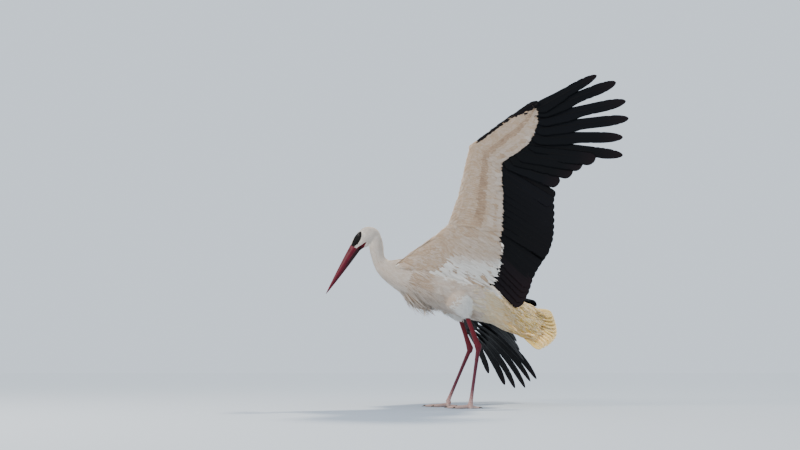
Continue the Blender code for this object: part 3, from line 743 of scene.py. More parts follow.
skinCorners = numpy.empty(len(skinMesh.loops) * 2, dtype=numpy.float32)
skinMesh.uv_layers["OFBake"].uv.foreach_get("vector", skinCorners)
skinCorners = skinCorners.reshape(-1, 2)
skinFaces = [tuple(face.vertices) for face in skinMesh.polygons]
skinTree = BVHTree.FromPolygons([v.co for v in skinMesh.vertices], skinFaces)
print("skin:", sum(len(face) - 2 for face in skinFaces), "triangles")


def patchAt(place):
    face = skinMesh.polygons[skinTree.find_nearest(place)[2]]
    middle = skinCorners[face.loop_start:face.loop_start + face.loop_total].mean(axis=0)
    return numpy.clip(middle, 0.002, 0.998)


# scattered body feathers

darts = {"grain": 0.0026, "tries": 1.6, "cell": 0.004}  # tries on each square of the grain's width


def takePlace(taken, spot, reach, cell):
    # true where nothing within reach was taken before, and then this place is taken too
    x, y, z = (math.floor(c / cell) for c in spot)
    span = math.ceil(reach / cell)
    steps = range(-span, span + 1)
    for i in steps:
        for j in steps:
            for k in steps:
                for other in taken.get((x + i, y + j, z + k), ()):
                    if (other - spot).length_squared < reach * reach:
                        return False
    taken.setdefault((x, y, z), []).append(spot.copy())
    return True


def chooseBody(spot, normal):
    # the kind of feather that grows there, if any, and the node it grows on
    owner = ownerOf(spot)
    kind = kindAt(spot, normal, owner)
    if owner == "head":
        back, rise, side = headPlace(spot)
        if max(inFace(back, rise), inJaw(back, rise)) > 0.0009 or back < -0.006:
            return None, owner  # the first feathers stand just inside the bare skin and cover its edge
    return kind, owner


def scatter(bm):
    # darts over the form: each keeps its kind's spacing from those before it
    areas = numpy.array([face.calc_area() for face in bm.faces])
    tries = int(areas.sum() / darts["grain"] ** 2 * darts["tries"])
    picks = draw.choice(len(areas), size=tries, p=areas / areas.sum())
    weights = draw.random((tries, 2))
    corners = [[v.co for v in face.verts] for face in bm.faces]
    normals = [face.normal for face in bm.faces]
    taken, kept = {}, []
    for pick, (a, b) in zip(picks, weights):
        quad = corners[pick]
        spot = quad[0].lerp(quad[1], a).lerp(quad[-1].lerp(quad[2], a), b)
        kind, owner = chooseBody(spot, normals[pick])
        if kind and takePlace(taken, spot, bodyKinds[kind]["spacing"], darts["cell"]):
            kept.append((spot, normals[pick], kind, owner))
    return kept


def facesUnder(owner, normal):
    return normal.dot(wings[owner.split("_")[0]].under(0)) > 0


coat = {}
for spot, normal, kindName, owner in scatter(formMesh):
    kind = bodyKinds[kindName]
    template = small if kindName == "face" else contour
    length = kind["length"] * float(draw.uniform(0.85, 1.15))
    besideTail = abs(normal.dot(tailUnder))
    if kindName == "rump":
        if spot.x > at(0.20, 0, 0).x and (normal.dot(tailAxis) > 0.30 or besideTail < 0.25):
            continue  # the blunt end stays bare under the coverts before it
        length *= 1 - 0.10 * alongBody(spot, 0.15, 0.22)
    feather = layFeather(spot, spineFlow(spot, owner), kind, template.rows, depthAt(owner), length,
                         bend=bends.get(kindName, 0.2), keepOffTail=kindName == "rump" and besideTail > 0.4)
    if feather is None:
        continue
    if kindName == "shoulder" and not facesUnder(owner, normal):
        feather["stain"] *= 0.08  # the upper side is kept white; the buff on the lower side is partly painted shade
    group = owner if kindName == "thigh" else kindName
    towardsTail = alongBody(spot, 0.02, 0.22)
    # coverts towards the tail take the tail's painted warm glow of light through thin vanes
    if kindName in ("rump", "belly", "flank") and draw.random() < towardsTail * 4:
        group = "tail_covert"
        feather["stain"] = (0.35 + 0.65 * towardsTail) * float(draw.uniform(0.75, 1.05))
    coat.setdefault(group, []).append(feather)

# loose plumes: fine and long, rooted under the breast, with ends that hang free and ragged
plumes = {"count": 440, "length": (0.055, 0.105), "half": (0.0012, 0.0021), "front": -0.178, "rear": -0.075,
          "free": (0.15, 0.6), "hang": (0.3, 1.5), "ragged": 0.12}
# the plumes' buff is partly stain and partly painted warm shade
plumeKind = {"lift": 0.0030, "ruffle": 1.0, "stain": 0.65}
formMesh.faces.ensure_lookup_table()
plumeFront, plumeRear = (at(plumes[key], 0, 0).x for key in ("front", "rear"))
under = [face for face in formMesh.faces
         if face.normal.z < -0.25 and plumeFront < face.calc_center_median().x < plumeRear]
for pick in draw.choice(len(under), plumes["count"], replace=False):
    spot = under[int(pick)].calc_center_median()
    towardsRear = (spot.x - plumeFront) / (plumes["rear"] - plumes["front"])
    length = float(draw.uniform(*plumes["length"])) * (1.0 - 0.35 * towardsRear)
    aside, down = (float(draw.normal(0, plumes["ragged"])) for _ in range(2))
    way = Vector((0.80, aside, down - 0.35))
    half, free, hang = (float(draw.uniform(*plumes[key])) for key in ("half", "free", "hang"))
    feather = layFeather(spot, way, plumeKind, contour.rows, 0.004, length, half, freeFrom=free, hang=hang)
    if feather:
        coat["plume"].append(feather)

for group, feathers in coat.items():
    template = small if group == "face" else contour
    outline = {"face": "tiny", "breast": "plume", "plume": "plume", "neck": "plume", "nape": "plume"}
    thickness = 0.00010 if group in ("face", "crown", "nape") else 0.00022
    buildVanes(f"{'breast_plume' if group == 'plume' else group}_feathers", template, feathers,
               outline.get(group, "round"), thickness, tailLook if group == "tail_covert" else whiteLook)


# flight feathers: one long vane each, with a shaft, an inner and an outer web, and worn edges

quill = Template(10, 36)
quillColumns = [0.0, 0.045, 0.22, 0.5, 0.8, 1.0]  # from the shaft to the edge
flightSettings = {"rootShare": -0.045, "blunt": 0.80, "nicks": 6, "tilt": 0.055, "thick": 0.0006,
                  "shaft": 0.0009, "curl": 0.04, "twist": 0.0, "slim": 1.0, "toneSpread": 0.15,
                  "stain": ([0.55, 1.0], [0.0, 0.6])}
# widths of the leading and the rear web, and what is added to each between two shares of the length
webs = {
    "outermost": {"lead": (0.0200, 0), "rear": (0.0255, -0.0075), "over": (0.34, 0.56)},
    "primary": {"lead": (0.0175, 0), "rear": (0.0270, -0.0085), "over": (0.34, 0.56)},  # slotted tips
    "inner": {"lead": (0.0170, 0), "rear": (0.0280, 0), "over": (0, 1)},
    "secondary": {"lead": (0.0165, 0), "rear": (0.0260, 0), "over": (0, 1)},
    "tail": {"lead": (0.0090, 0.0110), "rear": (0.0110, 0.0130), "over": (0, 0.75)},
}


def flightFeathers(name, lines, camber, web, look, replaced, **changes):
    # each line gives root, tip, the underside's normal and the way the leading edge faces
    settings = {**flightSettings, **changes}
    count, rows = len(lines), quill.rows
    columns = [int(round(x * 5)) for x in quill.x]
    spread = numpy.array([math.copysign(quillColumns[abs(i)], i) for i in columns])
    even = numpy.linspace(0, 1, rows + 1)
    shares = between(settings["rootShare"], 1, 1 - (1 - even) ** 1.6)  # closer rows towards the round tip
    along = numpy.clip(shares, 0, 1)
    tipRound = numpy.clip(along - settings["blunt"], 0, 1) / (1 - settings["blunt"])
    tipRound = numpy.sqrt(numpy.clip(1 - tipRound ** 2.2, 0.004, 1))
    grow = 0.35 + 0.65 * numpy.clip(along / 0.10, 0, 1) ** 0.7
    grow *= 1 - (1 - settings["slim"]) * smooth(0.08, 0.42, along)
    change = smooth(*webs[web]["over"], along)
    leadWeb, rearWeb = ((webs[web][key][0] + webs[web][key][1] * change) * tipRound * grow
                        for key in ("lead", "rear"))
    turn = (settings["twist"] * numpy.clip((along - 0.12) / 0.33, 0, 1))[:, None]
    shaft = numpy.where(numpy.abs(spread) < 0.01, 1.0, 0.0) * settings["shaft"] * (1 - 0.85 * quill.share)
    lift = quill.z * settings["thick"] + numpy.where(quill.z > -0.5, shaft, -shaft)
    places, vane = [], []
    for root, tip, under, lead in lines:
        span = tip - root
        bow = camber * span.length_squared
        spots = numpy.array([root.lerp(tip, s) - under * (4 * bow * s * (1 - s)) for s in shares])
        ways = numpy.gradient(spots, axis=0)
        ways /= numpy.linalg.norm(ways, axis=1)[:, None]
        sides = numpy.array(lead.normalized())
        sides = sides[None] - ways * (ways @ sides)[:, None]
        sides /= numpy.linalg.norm(sides, axis=1)[:, None]
        dorsal = numpy.cross(sides, ways)
        dorsal *= numpy.sign(dorsal[rows // 2] @ -numpy.array(under)) or 1
        sides, dorsal = (sides * numpy.cos(turn) - dorsal * numpy.sin(turn),
                         dorsal * numpy.cos(turn) + sides * numpy.sin(turn))
        nicks = numpy.ones((2, rows + 1))  # torn barbs: small notches in either edge
        for nick in nicks:
            for _ in range(int(draw.integers(2, settings["nicks"]))):
                nick[int(draw.integers(rows // 4, rows))] *= float(draw.uniform(0.90, 0.97))
        half = numpy.where(spread > 0, (leadWeb * nicks[0])[quill.row], (rearWeb * nicks[1])[quill.row])
        across = spread * half
        rise = lift - settings["curl"] * spread ** 2 * half + across * settings["tilt"]
        places.append(spots[quill.row] + sides[quill.row] * across[:, None]
                      + dorsal[quill.row] * rise[:, None])
        vane.append(numpy.stack([across, along[quill.row] * span.length], axis=-1))
    mesh = meshFromArrays(name, numpy.concatenate(places), repeated(quill.faces, count, len(quill.x)))
    vertexOf = numpy.empty(len(mesh.loops), dtype=numpy.int32)
    mesh.loops.foreach_get("vertex_index", vertexOf)
    addMap(mesh, "vane", numpy.concatenate(vane)[vertexOf])
    # each feather has a strip of the bake map, its lower side beside its upper one
    strip = ((quill.x + 1) / 2 * 0.9 + 0.05 + (quill.z < -0.5) * 1.0) / 2 / count
    strips = numpy.stack([strip[None] + numpy.arange(count)[:, None] / count,
                          numpy.repeat(quill.share[None] * 0.98 + 0.01, count, axis=0)], axis=-1)
    addMap(mesh, "OFBake", strips.reshape(-1, 2)[vertexOf])
    everyShare = numpy.tile(quill.share, count)
    tone = numpy.repeat(draw.normal(0.5, settings["toneSpread"], count), len(quill.x))
    addValues(mesh, tone=numpy.clip(tone + 0.25 * (everyShare - 0.5), 0, 1),
              stain=numpy.interp(everyShare, *settings["stain"]))
    newPiece(name, mesh, replaced, look[1])
    print(f"{name}: {count} flight feathers")


def withLead(lines, before=None):
    # adds which way the leading edge faces: towards the feather before it
    full = []
    for i, (root, tip, under) in enumerate(lines):
        previous = lines[i - 1] if i else before
        if previous:
            lead = (previous[0] + previous[1] - root - tip) / 2
        else:
            lead = (root + tip - lines[1][0] - lines[1][1]) / 2
        full.append((root, tip, under, lead))
    return full


secondaries = 14
for sideName, wing in wings.items():
    primaries = withLead(wing.primaries())
    inner = withLead(wing.inner(), wing.primaries()[-1])
    for i in range(6):
        flightFeathers(f"{sideName}_primary_{10 - i}_feather", [primaries[i]], wing.camber,
                       "primary" if i else "outermost", blackLook, [f"{sideName}_primary_{10 - i}"],
                       twist=wing.twist, slim=wing.slim * (1 if i else 0.84),
                       blunt=0.74 if i and wing.slim == 1 else 0.62)
    flightFeathers(f"{sideName}_inner_primary_feathers", primaries[6:], wing.camber, "inner", blackLook,
                   [f"{sideName}_inner_primaries"], blunt=0.88)
    flightFeathers(f"{sideName}_secondary_feathers", inner[:secondaries], wing.camber, "secondary", blackLook,
                   [f"{sideName}_secondaries"], blunt=0.925, tilt=0.012, thick=0.0004, shaft=0.0005,
                   curl=0.01, stain=([0.0, 1.0], [0.0, 0.1]))
    flightFeathers(f"{sideName}_tertial_feathers", inner[secondaries:], wing.camber, "secondary", blackLook,
                   [f"{sideName}_tertials"], blunt=0.90, stain=([0.0, 1.0], [0.1, 0.7]))


# coverts, in rows from the leading edge back: share of the chord where the row's roots are

covertRows = {
    "under": [0.02, 0.06, 0.10, 0.14, 0.18, 0.23, 0.28, 0.33, 0.39, 0.46, 0.54, 0.63, 0.74],
    "upper": [0.02, 0.06, 0.11, 0.16, 0.21, 0.27, 0.33, 0.40, 0.48, 0.57, 0.66, 0.77],
}
covertReach = {"from": 0.16, "to": 3.28, "end": 0.93}
covertKind = {"lift": 0.0003, "ruffle": 0.25, "toneSpread": 0.10}
greaterKind = {"lift": 0.0010, "ruffle": 0.15, "toneSpread": 0.16}


def covertIsBlack(side, along, share, darkFrom):
    if side == "under":
        edge = 0.045 + 0.55 * max(along - 2.85, 0)  # the black strip widens towards the hand's tip
        return along > 2.10 and share < edge or along > darkFrom
    if along > 2.03:
        return share > 0.24 or along > 2.75  # primary coverts and the wing's bend beyond the alula
    return share > 0.60


def underwingBuffAndShade(along, share):
    # buff under the arm, partly stain and partly painted shade, with a painted shadow in the furrow behind
    # the bones and a fainter painted shadow in the crease behind it
    furrow = math.exp(-((share - 0.36) / 0.05) ** 2) * float(smooth(0.9, 1.2, along))
    furrow += 0.45 * math.exp(-((share - 0.63) / 0.03) ** 2)
    buff = 0.92 - 0.20 * float(smooth(0.35, 0.65, share))
    return buff * float(draw.uniform(0.90, 1.10)) + 0.50 * furrow


def layCovert(wing, side, along, share, following, last):
    # one covert, whether it is black, and how wide it stands in its row
    lead, rear, thick = wing.size(along)
    gap = (following - share) * (lead + rear)
    length = min(max(3.6 * gap, 0.022), 0.020 + 0.13 * share)
    if last:
        length = (1.0 - share) * (lead + rear) + 0.006
    half = min(max(0.25 * length, 0.0042), 0.0105)
    if last and side == "under":
        half = 0.0128  # the greater coverts end in a row of scallops
    isBlack = covertIsBlack(side, along, share, wing.darkFrom)
    bend = 0.80 if share > 0.5 else 0.1
    if isBlack and share < 0.3 and along > 2.9:
        length, bend = 0.036, 0.5  # these run on over the root of the first primary
    root = wing.skinPlace(along, share + float(draw.uniform(-0.008, 0.008)), side == "under")
    way = wing.lie(along).lerp(wing.outward(along), 0.30 * (1 - share) if along > 1 else 0.0)
    if share < 0.1:
        way = way.lerp(wing.outward(along), 0.25)
    feather = layFeather(root, way, greaterKind if last else covertKind, contour.rows, 0.0014,
                         length * float(draw.uniform(0.93, 1.07)), half, bend=bend)
    if feather and side == "under":
        feather["stain"] = underwingBuffAndShade(along, share)
    if feather and isBlack:
        feather["stain"] *= 0.2
    return feather, isBlack, half * (1.25 if last else 1.0)


for sideName, wing in wings.items():
    for side, shares in covertRows.items():
        lots = {"white": [], "black": []}
        for share, following in zip(shares, shares[1:] + [covertReach["end"]]):
            along = covertReach["from"]
            while along < covertReach["to"]:
                feather, isBlack, width = layCovert(wing, side, along, share, following, share == shares[-1])
                if feather:
                    lots["black" if isBlack else "white"].append(feather)
                along += width / wing.boneLength(along)
        for colour, feathers in lots.items():
            if feathers:
                buildVanes(f"{sideName}_{side}_coverts_{colour}", contour, feathers, "round", 0.00025,
                           blackLook if colour == "black" else whiteLook)


# long axillary feathers under the arm's root and scapulars above it, laid over the seam with the body

armpit = {"rows": [0.35, 0.48, 0.60, 0.72, 0.84, 0.94], "start": 0.03, "reach": 0.95, "step": 0.0048,
          "length": 0.088, "half": 0.0062, "lift": 0.0012, "ruffle": 0.35}
for sideName, wing in wings.items():
    for side, groupName in (("under", "axillary"), ("upper", "scapular")):
        feathers = []
        for row in armpit["rows"]:
            along = armpit["start"]
            while along < armpit["reach"] - 0.25 * row:
                root = wing.skinPlace(along, row + float(draw.uniform(-0.03, 0.03)), side == "under")
                way = wing.lie(along).lerp(Vector((0.88, 0, -0.30)), 0.55)
                lead, rear, thick = wing.size(along)
                length = min(armpit["length"] * (1 - 0.55 * along / armpit["reach"]),
                             (1.0 - row) * (lead + rear) + 0.012)
                feather = layFeather(root, way, armpit, contour.rows, 0.001,
                                     length * float(draw.uniform(0.85, 1.05)),
                                     armpit["half"] * float(draw.uniform(0.8, 1.1)), bend=0.75)
                if feather and side == "under":
                    away = float(smooth(0.30, 0.55, along))  # white by the body; further out the buff is partly stain and partly painted warm shade
                    feather["stain"] = 0.80 * away * float(draw.uniform(0.9, 1.1))
                feathers += [feather] if feather else []
                along += armpit["step"] / wing.boneLength(along)
        buildVanes(f"{sideName}_{groupName}_feathers", contour, feathers, "long", 0.00025, whiteLook)


# tail feathers, spread evenly and laid over each other from the middle out

tailLines = []
for i in range(tail["feathers"]):
    aside = 2 * i / (tail["feathers"] - 1) - 1
    angle = math.radians(tail["spread"]) * aside
    way = tailAxis * math.cos(angle) + tailLeft * math.sin(angle)
    reach = tail["length"] * (1 - 0.06 * abs(aside))
    layer = tailUnder * (0.0012 * (abs(aside) - 0.5))
    ends = [tail["root"] + way * place + layer for place in (tail["start"], reach)]
    tailLines.append((*ends, tailUnder, tailLeft * (1 if aside > 0 else -1)))
# the tail's warm tint is a painted glow of light through its vanes, fading to white at the tips
flightFeathers("tail_feathers", tailLines, tail["camber"], "tail", tailLook, ["tail"], rootShare=-0.10,
               blunt=0.86, thick=0.0007, tilt=0.05, curl=0.05, toneSpread=0.28,
               stain=([0.0, 0.9, 1.0], [0.95, 0.85, 0.15]))


# bill

bill = {"length": 0.176, "start": 0.0044, "mouthDrop": 0.0035, "mouthGap": 0.00012,
        "around": 72, "along": 130, "flat": 0.22}  # flat: the share of the round that lies along the mouth
billRows = [(-0.10, 0.0166, 0.0116), (0.00, 0.0172, 0.0120), (0.20, 0.0150, 0.0107), (0.45, 0.0112, 0.0084),
            (0.70, 0.0070, 0.0057), (0.90, 0.0031, 0.0027), (1.00, 0.0006, 0.0006)]
nostril = {"at": 0.090, "length": 0.0070, "turn": 0.82, "width": 0.085, "depth": 0.0012}


def billPoint(share, turn, isUpper):
    height, width = (float(numpy.interp(share, [row[0] for row in billRows], [row[i] for row in billRows]))
                     for i in (1, 2))
    centre = billBase + billAxis * (bill["start"] + share * bill["length"])
    mouth = -bill["mouthDrop"] - 0.02 * share * bill["length"]
    mouth = max(mouth, -height * 0.4) + (bill["mouthGap"] if isUpper else -bill["mouthGap"])
    low = math.asin(max(-0.95, min(0.95, mouth / height)))
    if isUpper:
        first, last = low, math.pi - low
    else:
        first, last = math.pi - low, 2 * math.pi + low
    if turn > 1 - bill["flat"]:  # along the mouth, back to where the round began
        back = (turn - 1 + bill["flat"]) / bill["flat"]
        start, end = (Vector((math.cos(a) * width, math.sin(a) * height)) for a in (last, first))
        across, up = start.lerp(end, back)
    else:
        angle = between(first, last, turn / (1 - bill["flat"]))
        reach = 1.0
        if isUpper:
            off = angle - math.pi / 2
            ridge = 0.0008 * math.exp(-(off / 0.30) ** 2) * (1 - share)  # the culmen
            flute = -0.0005 * math.exp(-((abs(off) - 0.85) / 0.22) ** 2) * float(smooth(0.75, 0.3, share))
            slit = (abs(off) - nostril["turn"]) / nostril["width"]
            run = (share - nostril["at"]) * bill["length"] / nostril["length"]
            hole = -nostril["depth"] * math.exp(-(slit ** 2 + run ** 4))
            reach += (ridge + flute + hole) / max(width, 0.002)
        across, up = math.cos(angle) * width * reach, math.sin(angle) * height * reach
    return centre + crownAxis * up + Vector((0, across, 0))


def billMaterial():
    # bill horn: deep red keratin sheath, satin, with fine streaks along it, and painted shade along the lower
    # edge and in the nostril
    material, tree, shader, place = newMaterial("red bill horn")
    turned = addNode(tree, "Mapping", {
        "Vector": place, "Location": tuple(-billBase), "Rotation": (0, -math.atan2(0.53, 0.848), 0)})
    # the streaks are 1.1 mm wide and 17 mm long
    streaked = addNode(tree, "VectorMath", {0: turned, 1: (900, 900, 60)}, operation="MULTIPLY")
    streak = addNode(tree, "TexNoise", {"Vector": streaked, "Scale": 1.0, "Detail": 4})
    colour = addNode(tree, "ValToRGB", {"Fac": streak}, stops=[
        (0.26, "#34010F"), (0.50, "#58031D"), (0.78, "#72082A")])
    # painted shade under the bill and in the nostril, mixed in as a dark red
    dusk = addNode(tree, "Attribute", {}, "Fac", attribute_name="dusk")
    setInputs(tree, shader, {
        "Base Color": addNode(tree, "Mix", {0: dusk, 6: colour, 7: linear("#2A0B12")}, 2, data_type="RGBA"),
        "Roughness": 0.42, "IOR": 1.54, "Specular IOR Level": 0.20,
        "Normal": addNode(tree, "Bump", {"Height": streak, "Strength": 0.25, "Distance": 0.0003})})
    return material


def duskAt(place, isUpper):
    # painted shade: dark under the bill towards its base, and in the nostril's recess
    back, rise, side = headPlace(place)
    share = -back / bill["length"]
    under = float(smooth(-0.004, -0.011, rise / max(1 - share, 0.2)))
    base = float(smooth(0.60, 0.12, share))
    off = math.pi / 2 - math.atan2(rise / 0.0165, abs(side) / 0.0116)
    slit = (off - nostril["turn"]) / nostril["width"]
    run = (share - nostril["at"] - bill["start"] / bill["length"]) * bill["length"] / nostril["length"]
    hole = math.exp(-((slit / 0.8) ** 2 + run ** 4)) if isUpper else 0.0
    return min(1.0, 0.92 * under * base + 0.30 * under + 0.95 * hole)


def buildBill(name, isUpper, replaced, material):
    bm = wrapGrid(bill["around"], bill["along"],
                  lambda turn, share: billPoint(between(billRows[0][0], 1.0, share), turn, isUpper))
    mesh = closedMesh(name, bm)
    addValues(mesh, dusk=[duskAt(vert.co, isUpper) for vert in mesh.vertices])
    newPiece(name, mesh, replaced, material)


redHorn = billMaterial()
buildBill("upper_bill", True, ["bill_upper"], redHorn)
buildBill("lower_bill", False, ["bill_lower"], redHorn)
print("bill done")


# eyes: each a ball, with a rim of bare lid that hugs it

irisEnd = 55  # degrees off the eye's axis
lids = {"openBack": 53, "openUp": 46, "width": 16,  # degrees
        "around": 48, "rows": 9, "thickness": 0.0003,
        "shares": [0.0, 0.15, 0.40, 0.70, 1.0], "rises": [0.00003, 0.00042, 0.00062, 0.00030, -0.00080]}


def eyeMaterial():
    # a wet eye: a dark brown iris round a black pupil, under a clear cornea as smooth as polished glass
    material, tree, shader, place = newMaterial("glass-clear eye")
    ring = addNode(tree, "Attribute", {}, "Fac", attribute_name="ring")
    colour = addNode(tree, "ValToRGB", {"Fac": ring}, stops=[
        (0.0, "#020202"), (0.34, "#030202"), (0.40, "#170D09"), (0.75, "#22140D"), (0.95, "#050303")])
    setInputs(tree, shader, {"Base Color": colour, "Roughness": 0.04, "IOR": 1.376})
    return material


def lidMaterial():
    # bare eyelid skin: black and finely pimpled, which breaks the light into a dull sheen
    material, tree, shader, place = newMaterial("bare black lid skin")
    grain = addNode(tree, "TexVoronoi", {"Vector": place, "Scale": 1300.0})  # pimples of 0.8 mm
    colour = addNode(tree, "ValToRGB", {"Fac": grain}, stops=[(0.1, "#1B1718"), (0.7, "#080607")])
    pimples = addNode(tree, "Bump", {"Height": grain, "Strength": 0.5, "Distance": 0.0003}, invert=True)
    setInputs(tree, shader, {"Base Color": colour, "Roughness": 0.55, "Normal": pimples})
    return material


def buildEye(name, sign, eyeShader, lidShader):
    centre = eyeMiddles["eye_" + name]
    radius = eyePlace["radius"]
    gaze = (Vector((0, sign * 0.783, 0)) + crownAxis * 0.50 + billAxis * 0.10).normalized()
    backWay = (-billAxis + gaze * billAxis.dot(gaze)).normalized()
    upWay = gaze.cross(backWay)
    bm = bmesh.new()
    bmesh.ops.create_uvsphere(bm, u_segments=40, v_segments=28, radius=radius)
    turn = Matrix((backWay, upWay, gaze)).transposed().to_4x4()
    bmesh.ops.transform(bm, matrix=Matrix.Translation(centre) @ turn, verts=bm.verts)
    offs = [math.acos(max(-1, min(1, (v.co - centre).normalized().dot(gaze)))) for v in bm.verts]
    bmesh.ops.recalc_face_normals(bm, faces=bm.faces)
    mesh = meshOf(f"{name}_eye", bm)
    addValues(mesh, ring=[min(1.0, off / math.radians(irisEnd)) for off in offs])
    newPiece(f"{name}_eye", mesh, ["eye_" + name], eyeShader)

    def lidPoint(turn, share):
        # a band with a rounded margin that sinks into the head on its outer side
        angle = 2 * math.pi * turn
        opening = math.hypot(lids["openBack"] * math.cos(angle), lids["openUp"] * math.sin(angle))
        off = math.radians(opening + lids["width"] * share ** 1.6)
        rise = float(numpy.interp(share, lids["shares"], lids["rises"]))
        way = gaze * math.cos(off) + (backWay * math.cos(angle) + upWay * math.sin(angle)) * math.sin(off)
        return centre + way * (radius + rise)

    bm = wrapGrid(lids["around"], lids["rows"], lidPoint)
    bmesh.ops.recalc_face_normals(bm, faces=bm.faces)
    bmesh.ops.solidify(bm, geom=list(bm.faces), thickness=lids["thickness"])
    bmesh.ops.recalc_face_normals(bm, faces=bm.faces)
    newPiece(f"{name}_lid", meshOf(f"{name}_lid", bm), (), lidShader)


eyeShader, lidShader = eyeMaterial(), lidMaterial()
buildEye("left", -1, eyeShader, lidShader)
buildEye("right", 1, eyeShader, lidShader)
print("eyes done")


# legs: bare skin covered in many-sided scales, with the grooves between them in the mesh

legParts = ("tibia", "tarsus", "foot")
legSettings = {"voxel": 0.0011, "swell": 0.00035, "smoothing": 5, "scale": 0.0026, "raise": 0.00035,
               "groove": 0.0013, "footJoint": 0.0078, "heelJoint": 0.0090}
claws = {"base": 0.0026, "end": 0.00035, "arch": 0.0011, "sunk": 0.16, "flat": 0.78,
         "around": 20, "along": 14}


def legMaterial():
    # leg skin: horny scales, dull red above, purplish on the shank, pale pink with whitish grainy patches on
    # the toes
    material, tree, shader, place = newMaterial("scaly leg skin")
    height = addNode(tree, "SeparateXYZ", {0: place}, "Z")
    patch = addNode(tree, "TexNoise", {"Vector": place, "Scale": 90.0, "Detail": 3})  # patches of 11 mm
    up = addNode(tree, "Math", {0: height, 1: -0.015}, operation="ADD")
    up = addNode(tree, "Math", {0: patch, 1: 0.03, 2: up}, operation="MULTIPLY_ADD")
    up = addNode(tree, "Math", {0: up, 1: 0.30}, operation="DIVIDE")
    colour = addNode(tree, "ValToRGB", {"Fac": up}, stops=[
        (0.00, "#CDAEA2"), (0.08, "#B58480"), (0.19, "#62273A"), (0.45, "#501026"), (0.62, "#5A031A"),
        (0.95, "#6A0217")])
    groove = addNode(tree, "Attribute", {}, "Fac", attribute_name="groove")
    groove = addNode(tree, "Math", {0: groove, 1: 0.6}, operation="MULTIPLY")
    colour = addNode(tree, "Mix", {0: groove, 6: colour, 7: linear("#3A0F16")}, 2, data_type="RGBA")
    speckle = addNode(tree, "TexNoise", {"Vector": place, "Scale": 300.0, "Detail": 4})  # grains of 3 mm
    whitePatches = addNode(tree, "MapRange", {"Value": speckle, "From Min": 0.45, "From Max": 0.75})
    low = addNode(tree, "MapRange", {
        "Value": height, "From Min": 0.015, "From Max": 0.078, "To Min": 0.45, "To Max": 0.0})
    whitePatches = addNode(tree, "Math", {0: whitePatches, 1: low}, operation="MULTIPLY")
    colour = addNode(tree, "Mix", {0: whitePatches, 6: colour, 7: linear("#E6DCD2")}, 2, data_type="RGBA")
    setInputs(tree, shader, {
        "Base Color": colour, "Roughness": 0.5, "Specular IOR Level": 0.28,
        "Normal": addNode(tree, "Bump", {"Height": speckle, "Strength": 0.2, "Distance": 0.0003})})
    return material


def clawMaterial():
    # claws: dark brown horn with a soft gleam, paler in patches where it is worn
    material, tree, shader, place = newMaterial("claw horn")
    grain = addNode(tree, "TexNoise", {"Vector": place, "Scale": 700.0, "Detail": 3})  # grains of 1.4 mm
    colour = addNode(tree, "ValToRGB", {"Fac": grain}, stops=[(0.3, "#2B211C"), (0.7, "#6A5548")])
    setInputs(tree, shader, {"Base Color": colour, "Roughness": 0.4})
    return material


def endOf(name, away, reach):
    # the middle of a node's corners at its end furthest in the given direction
    corners = [v.co for v in nodes[name].data.vertices]
    most = max(c.dot(away) for c in corners)
    end = [c for c in corners if c.dot(away) > most - reach]
    return sum(end, Vector()) / len(end)


def buildClaw(sideName, toe, material):
    foot, node = f"{sideName}_foot", f"{sideName}_claw_{toe}"
    outwards = (sum(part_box(node), Vector()) - sum(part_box(foot), Vector())) / 2
    outwards.z = 0
    outwards.normalize()
    root, tip = endOf(node, -outwards, 0.0012), endOf(node, outwards, 0.0004)
    root -= (tip - root) * claws["sunk"]
    across = outwards.cross(Vector((0, 0, 1)))

    def clawPoint(turn, share):
        angle = 2 * math.pi * turn
        radius = between(claws["base"], claws["end"], share ** 1.25)
        rise = claws["arch"] * math.sin(math.pi * min(share * 1.15, 1.0))
        place = root.lerp(tip, share) + across * (claws["flat"] * radius * math.cos(angle))
        place.z = max(place.z + rise + radius * math.sin(angle), 0.0002)
        return place

    bm = wrapGrid(claws["around"], claws["along"], clawPoint)
    name = f"{sideName}_{toe}_claw"
    newPiece(name, closedMesh(name, bm), [node], material)


def buildLeg(sideName, material):
    down = Vector((0, 0, -1))
    names = [f"{sideName}_{part}" for part in legParts]
    joints = [(endOf(f"{sideName}_tarsus", down, 0.004) + Vector((0, 0, 0.0005)), legSettings["footJoint"]),
              (endOf(f"{sideName}_tibia", down, 0.006), legSettings["heelJoint"])]
    bm = remeshed(sideName + "_leg", names, legSettings["voxel"], legSettings["swell"],
                  legSettings["smoothing"], joints)
    bm.verts.index_update()
    order = draw.permutation(len(bm.verts))
    bm.verts.ensure_lookup_table()
    taken = {}
    seeds = [bm.verts[int(index)].co.copy() for index in order
             if takePlace(taken, bm.verts[int(index)].co, legSettings["scale"], legSettings["scale"])]
    tree = kdtree.KDTree(len(seeds))
    for i, seed in enumerate(seeds):
        tree.insert(seed, i)
    tree.balance()
    grooves, moves = [], []
    for vert in bm.verts:
        # a scale reaches to where the next seed is as near as its own, and a groove runs there
        near = tree.find_n(vert.co, 2)
        crest = float(smooth(0.0, legSettings["groove"], near[1][2] - near[0][2]))
        grooves.append(1 - crest)
        floorFade = float(smooth(0.0012, 0.0040, vert.co.z))
        moves.append(vert.normal * (legSettings["raise"] * (crest - 0.6) * floorFade))
    for vert, move in zip(bm.verts, moves):
        vert.co += move
        vert.co.z = max(vert.co.z, 0.0)
    mesh = meshOf(sideName + "_leg", bm)
    addValues(mesh, groove=grooves)
    newPiece(sideName + "_leg", mesh, names, material)
    print(sideName, "leg:", len(mesh.polygons), "faces")


legShader, clawShader = legMaterial(), clawMaterial()
for sideName in ("left", "right"):
    buildLeg(sideName, legShader)
    for toe in ("inner", "middle", "outer", "hind"):
        buildClaw(sideName, toe, clawShader)


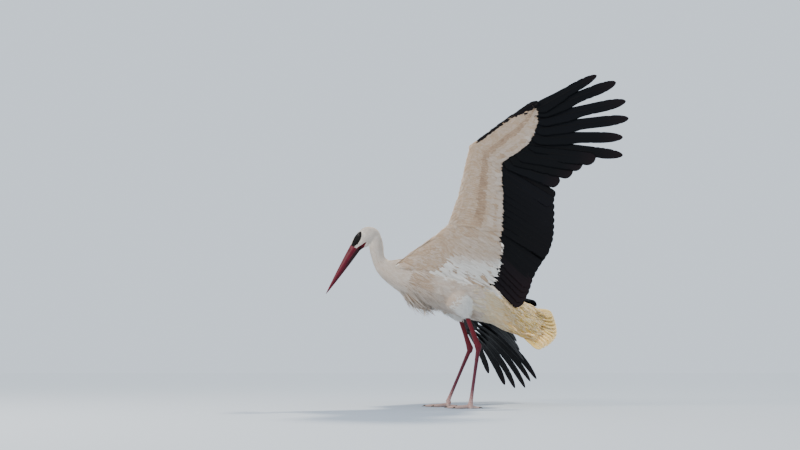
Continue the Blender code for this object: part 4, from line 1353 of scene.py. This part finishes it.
# floor, backdrop, light and camera

def stageMaterial():
    # backdrop paper: matt and pale, with a faint grain and no gleam
    material, tree, shader, place = newMaterial("matt pale paper")
    grain = addNode(tree, "TexNoise", {"Vector": place, "Scale": 400.0, "Detail": 2})  # grains of 2.5 mm
    colour = addNode(tree, "Mix", {0: grain, 6: linear("#AEB9C6"), 7: linear("#B2BDCA")}, 2, data_type="RGBA")
    setInputs(tree, shader, {"Base Color": colour, "Roughness": 1.0, "Specular IOR Level": 0.0})
    return material


bm = bmesh.new()
bmesh.ops.create_grid(bm, x_segments=2, y_segments=2, size=60)
floorObject = bpy.data.objects.new("pale_floor", meshOf("pale_floor", bm))
floorObject.data.materials.append(stageMaterial())
bpy.context.collection.objects.link(floorObject)

world = bpy.data.worlds.new("studio")
bpy.context.scene.world = world
world.use_nodes = True
setInputs(world.node_tree, world.node_tree.nodes["Background"],
          {"Color": linear("#D3DEEA"), "Strength": 1.35})


def addLight(name, kind, place, target, power, colour, **sizes):
    light = bpy.data.lights.new(name, kind)
    light.energy, light.color = power, linear(colour)[:3]
    for key, value in sizes.items():
        setattr(light, key, value)
    obj = bpy.data.objects.new(name, light)
    obj.location = place
    obj.rotation_euler = (Vector(target) - Vector(place)).to_track_quat("-Z", "Y").to_euler()
    bpy.context.collection.objects.link(obj)


middle = (cadLow + cadHigh) / 2
# the key comes from above and behind on the right, as low sun would, and a wide soft light fills the front
addLight("key", "SUN", middle + Vector((1.5, 1.9, 2.6)), middle, 4.6, "#FFF0D8", angle=math.radians(7))
addLight("fill", "AREA", middle + Vector((-2.4, -1.9, 1.5)), middle, 84, "#FFEFDC", size=1.6, shape="DISK")

camera = bpy.data.cameras.new("camera")
camera.sensor_width = 36
camera.lens = 41.4
cameraObject = bpy.data.objects.new("camera", camera)
cameraObject.location = at(-0.165, -3.0, 0.115)
cameraObject.rotation_euler = (math.radians(90 + 9.03), 0, 0)
bpy.context.collection.objects.link(cameraObject)
bpy.context.scene.camera = cameraObject

formMesh.free()
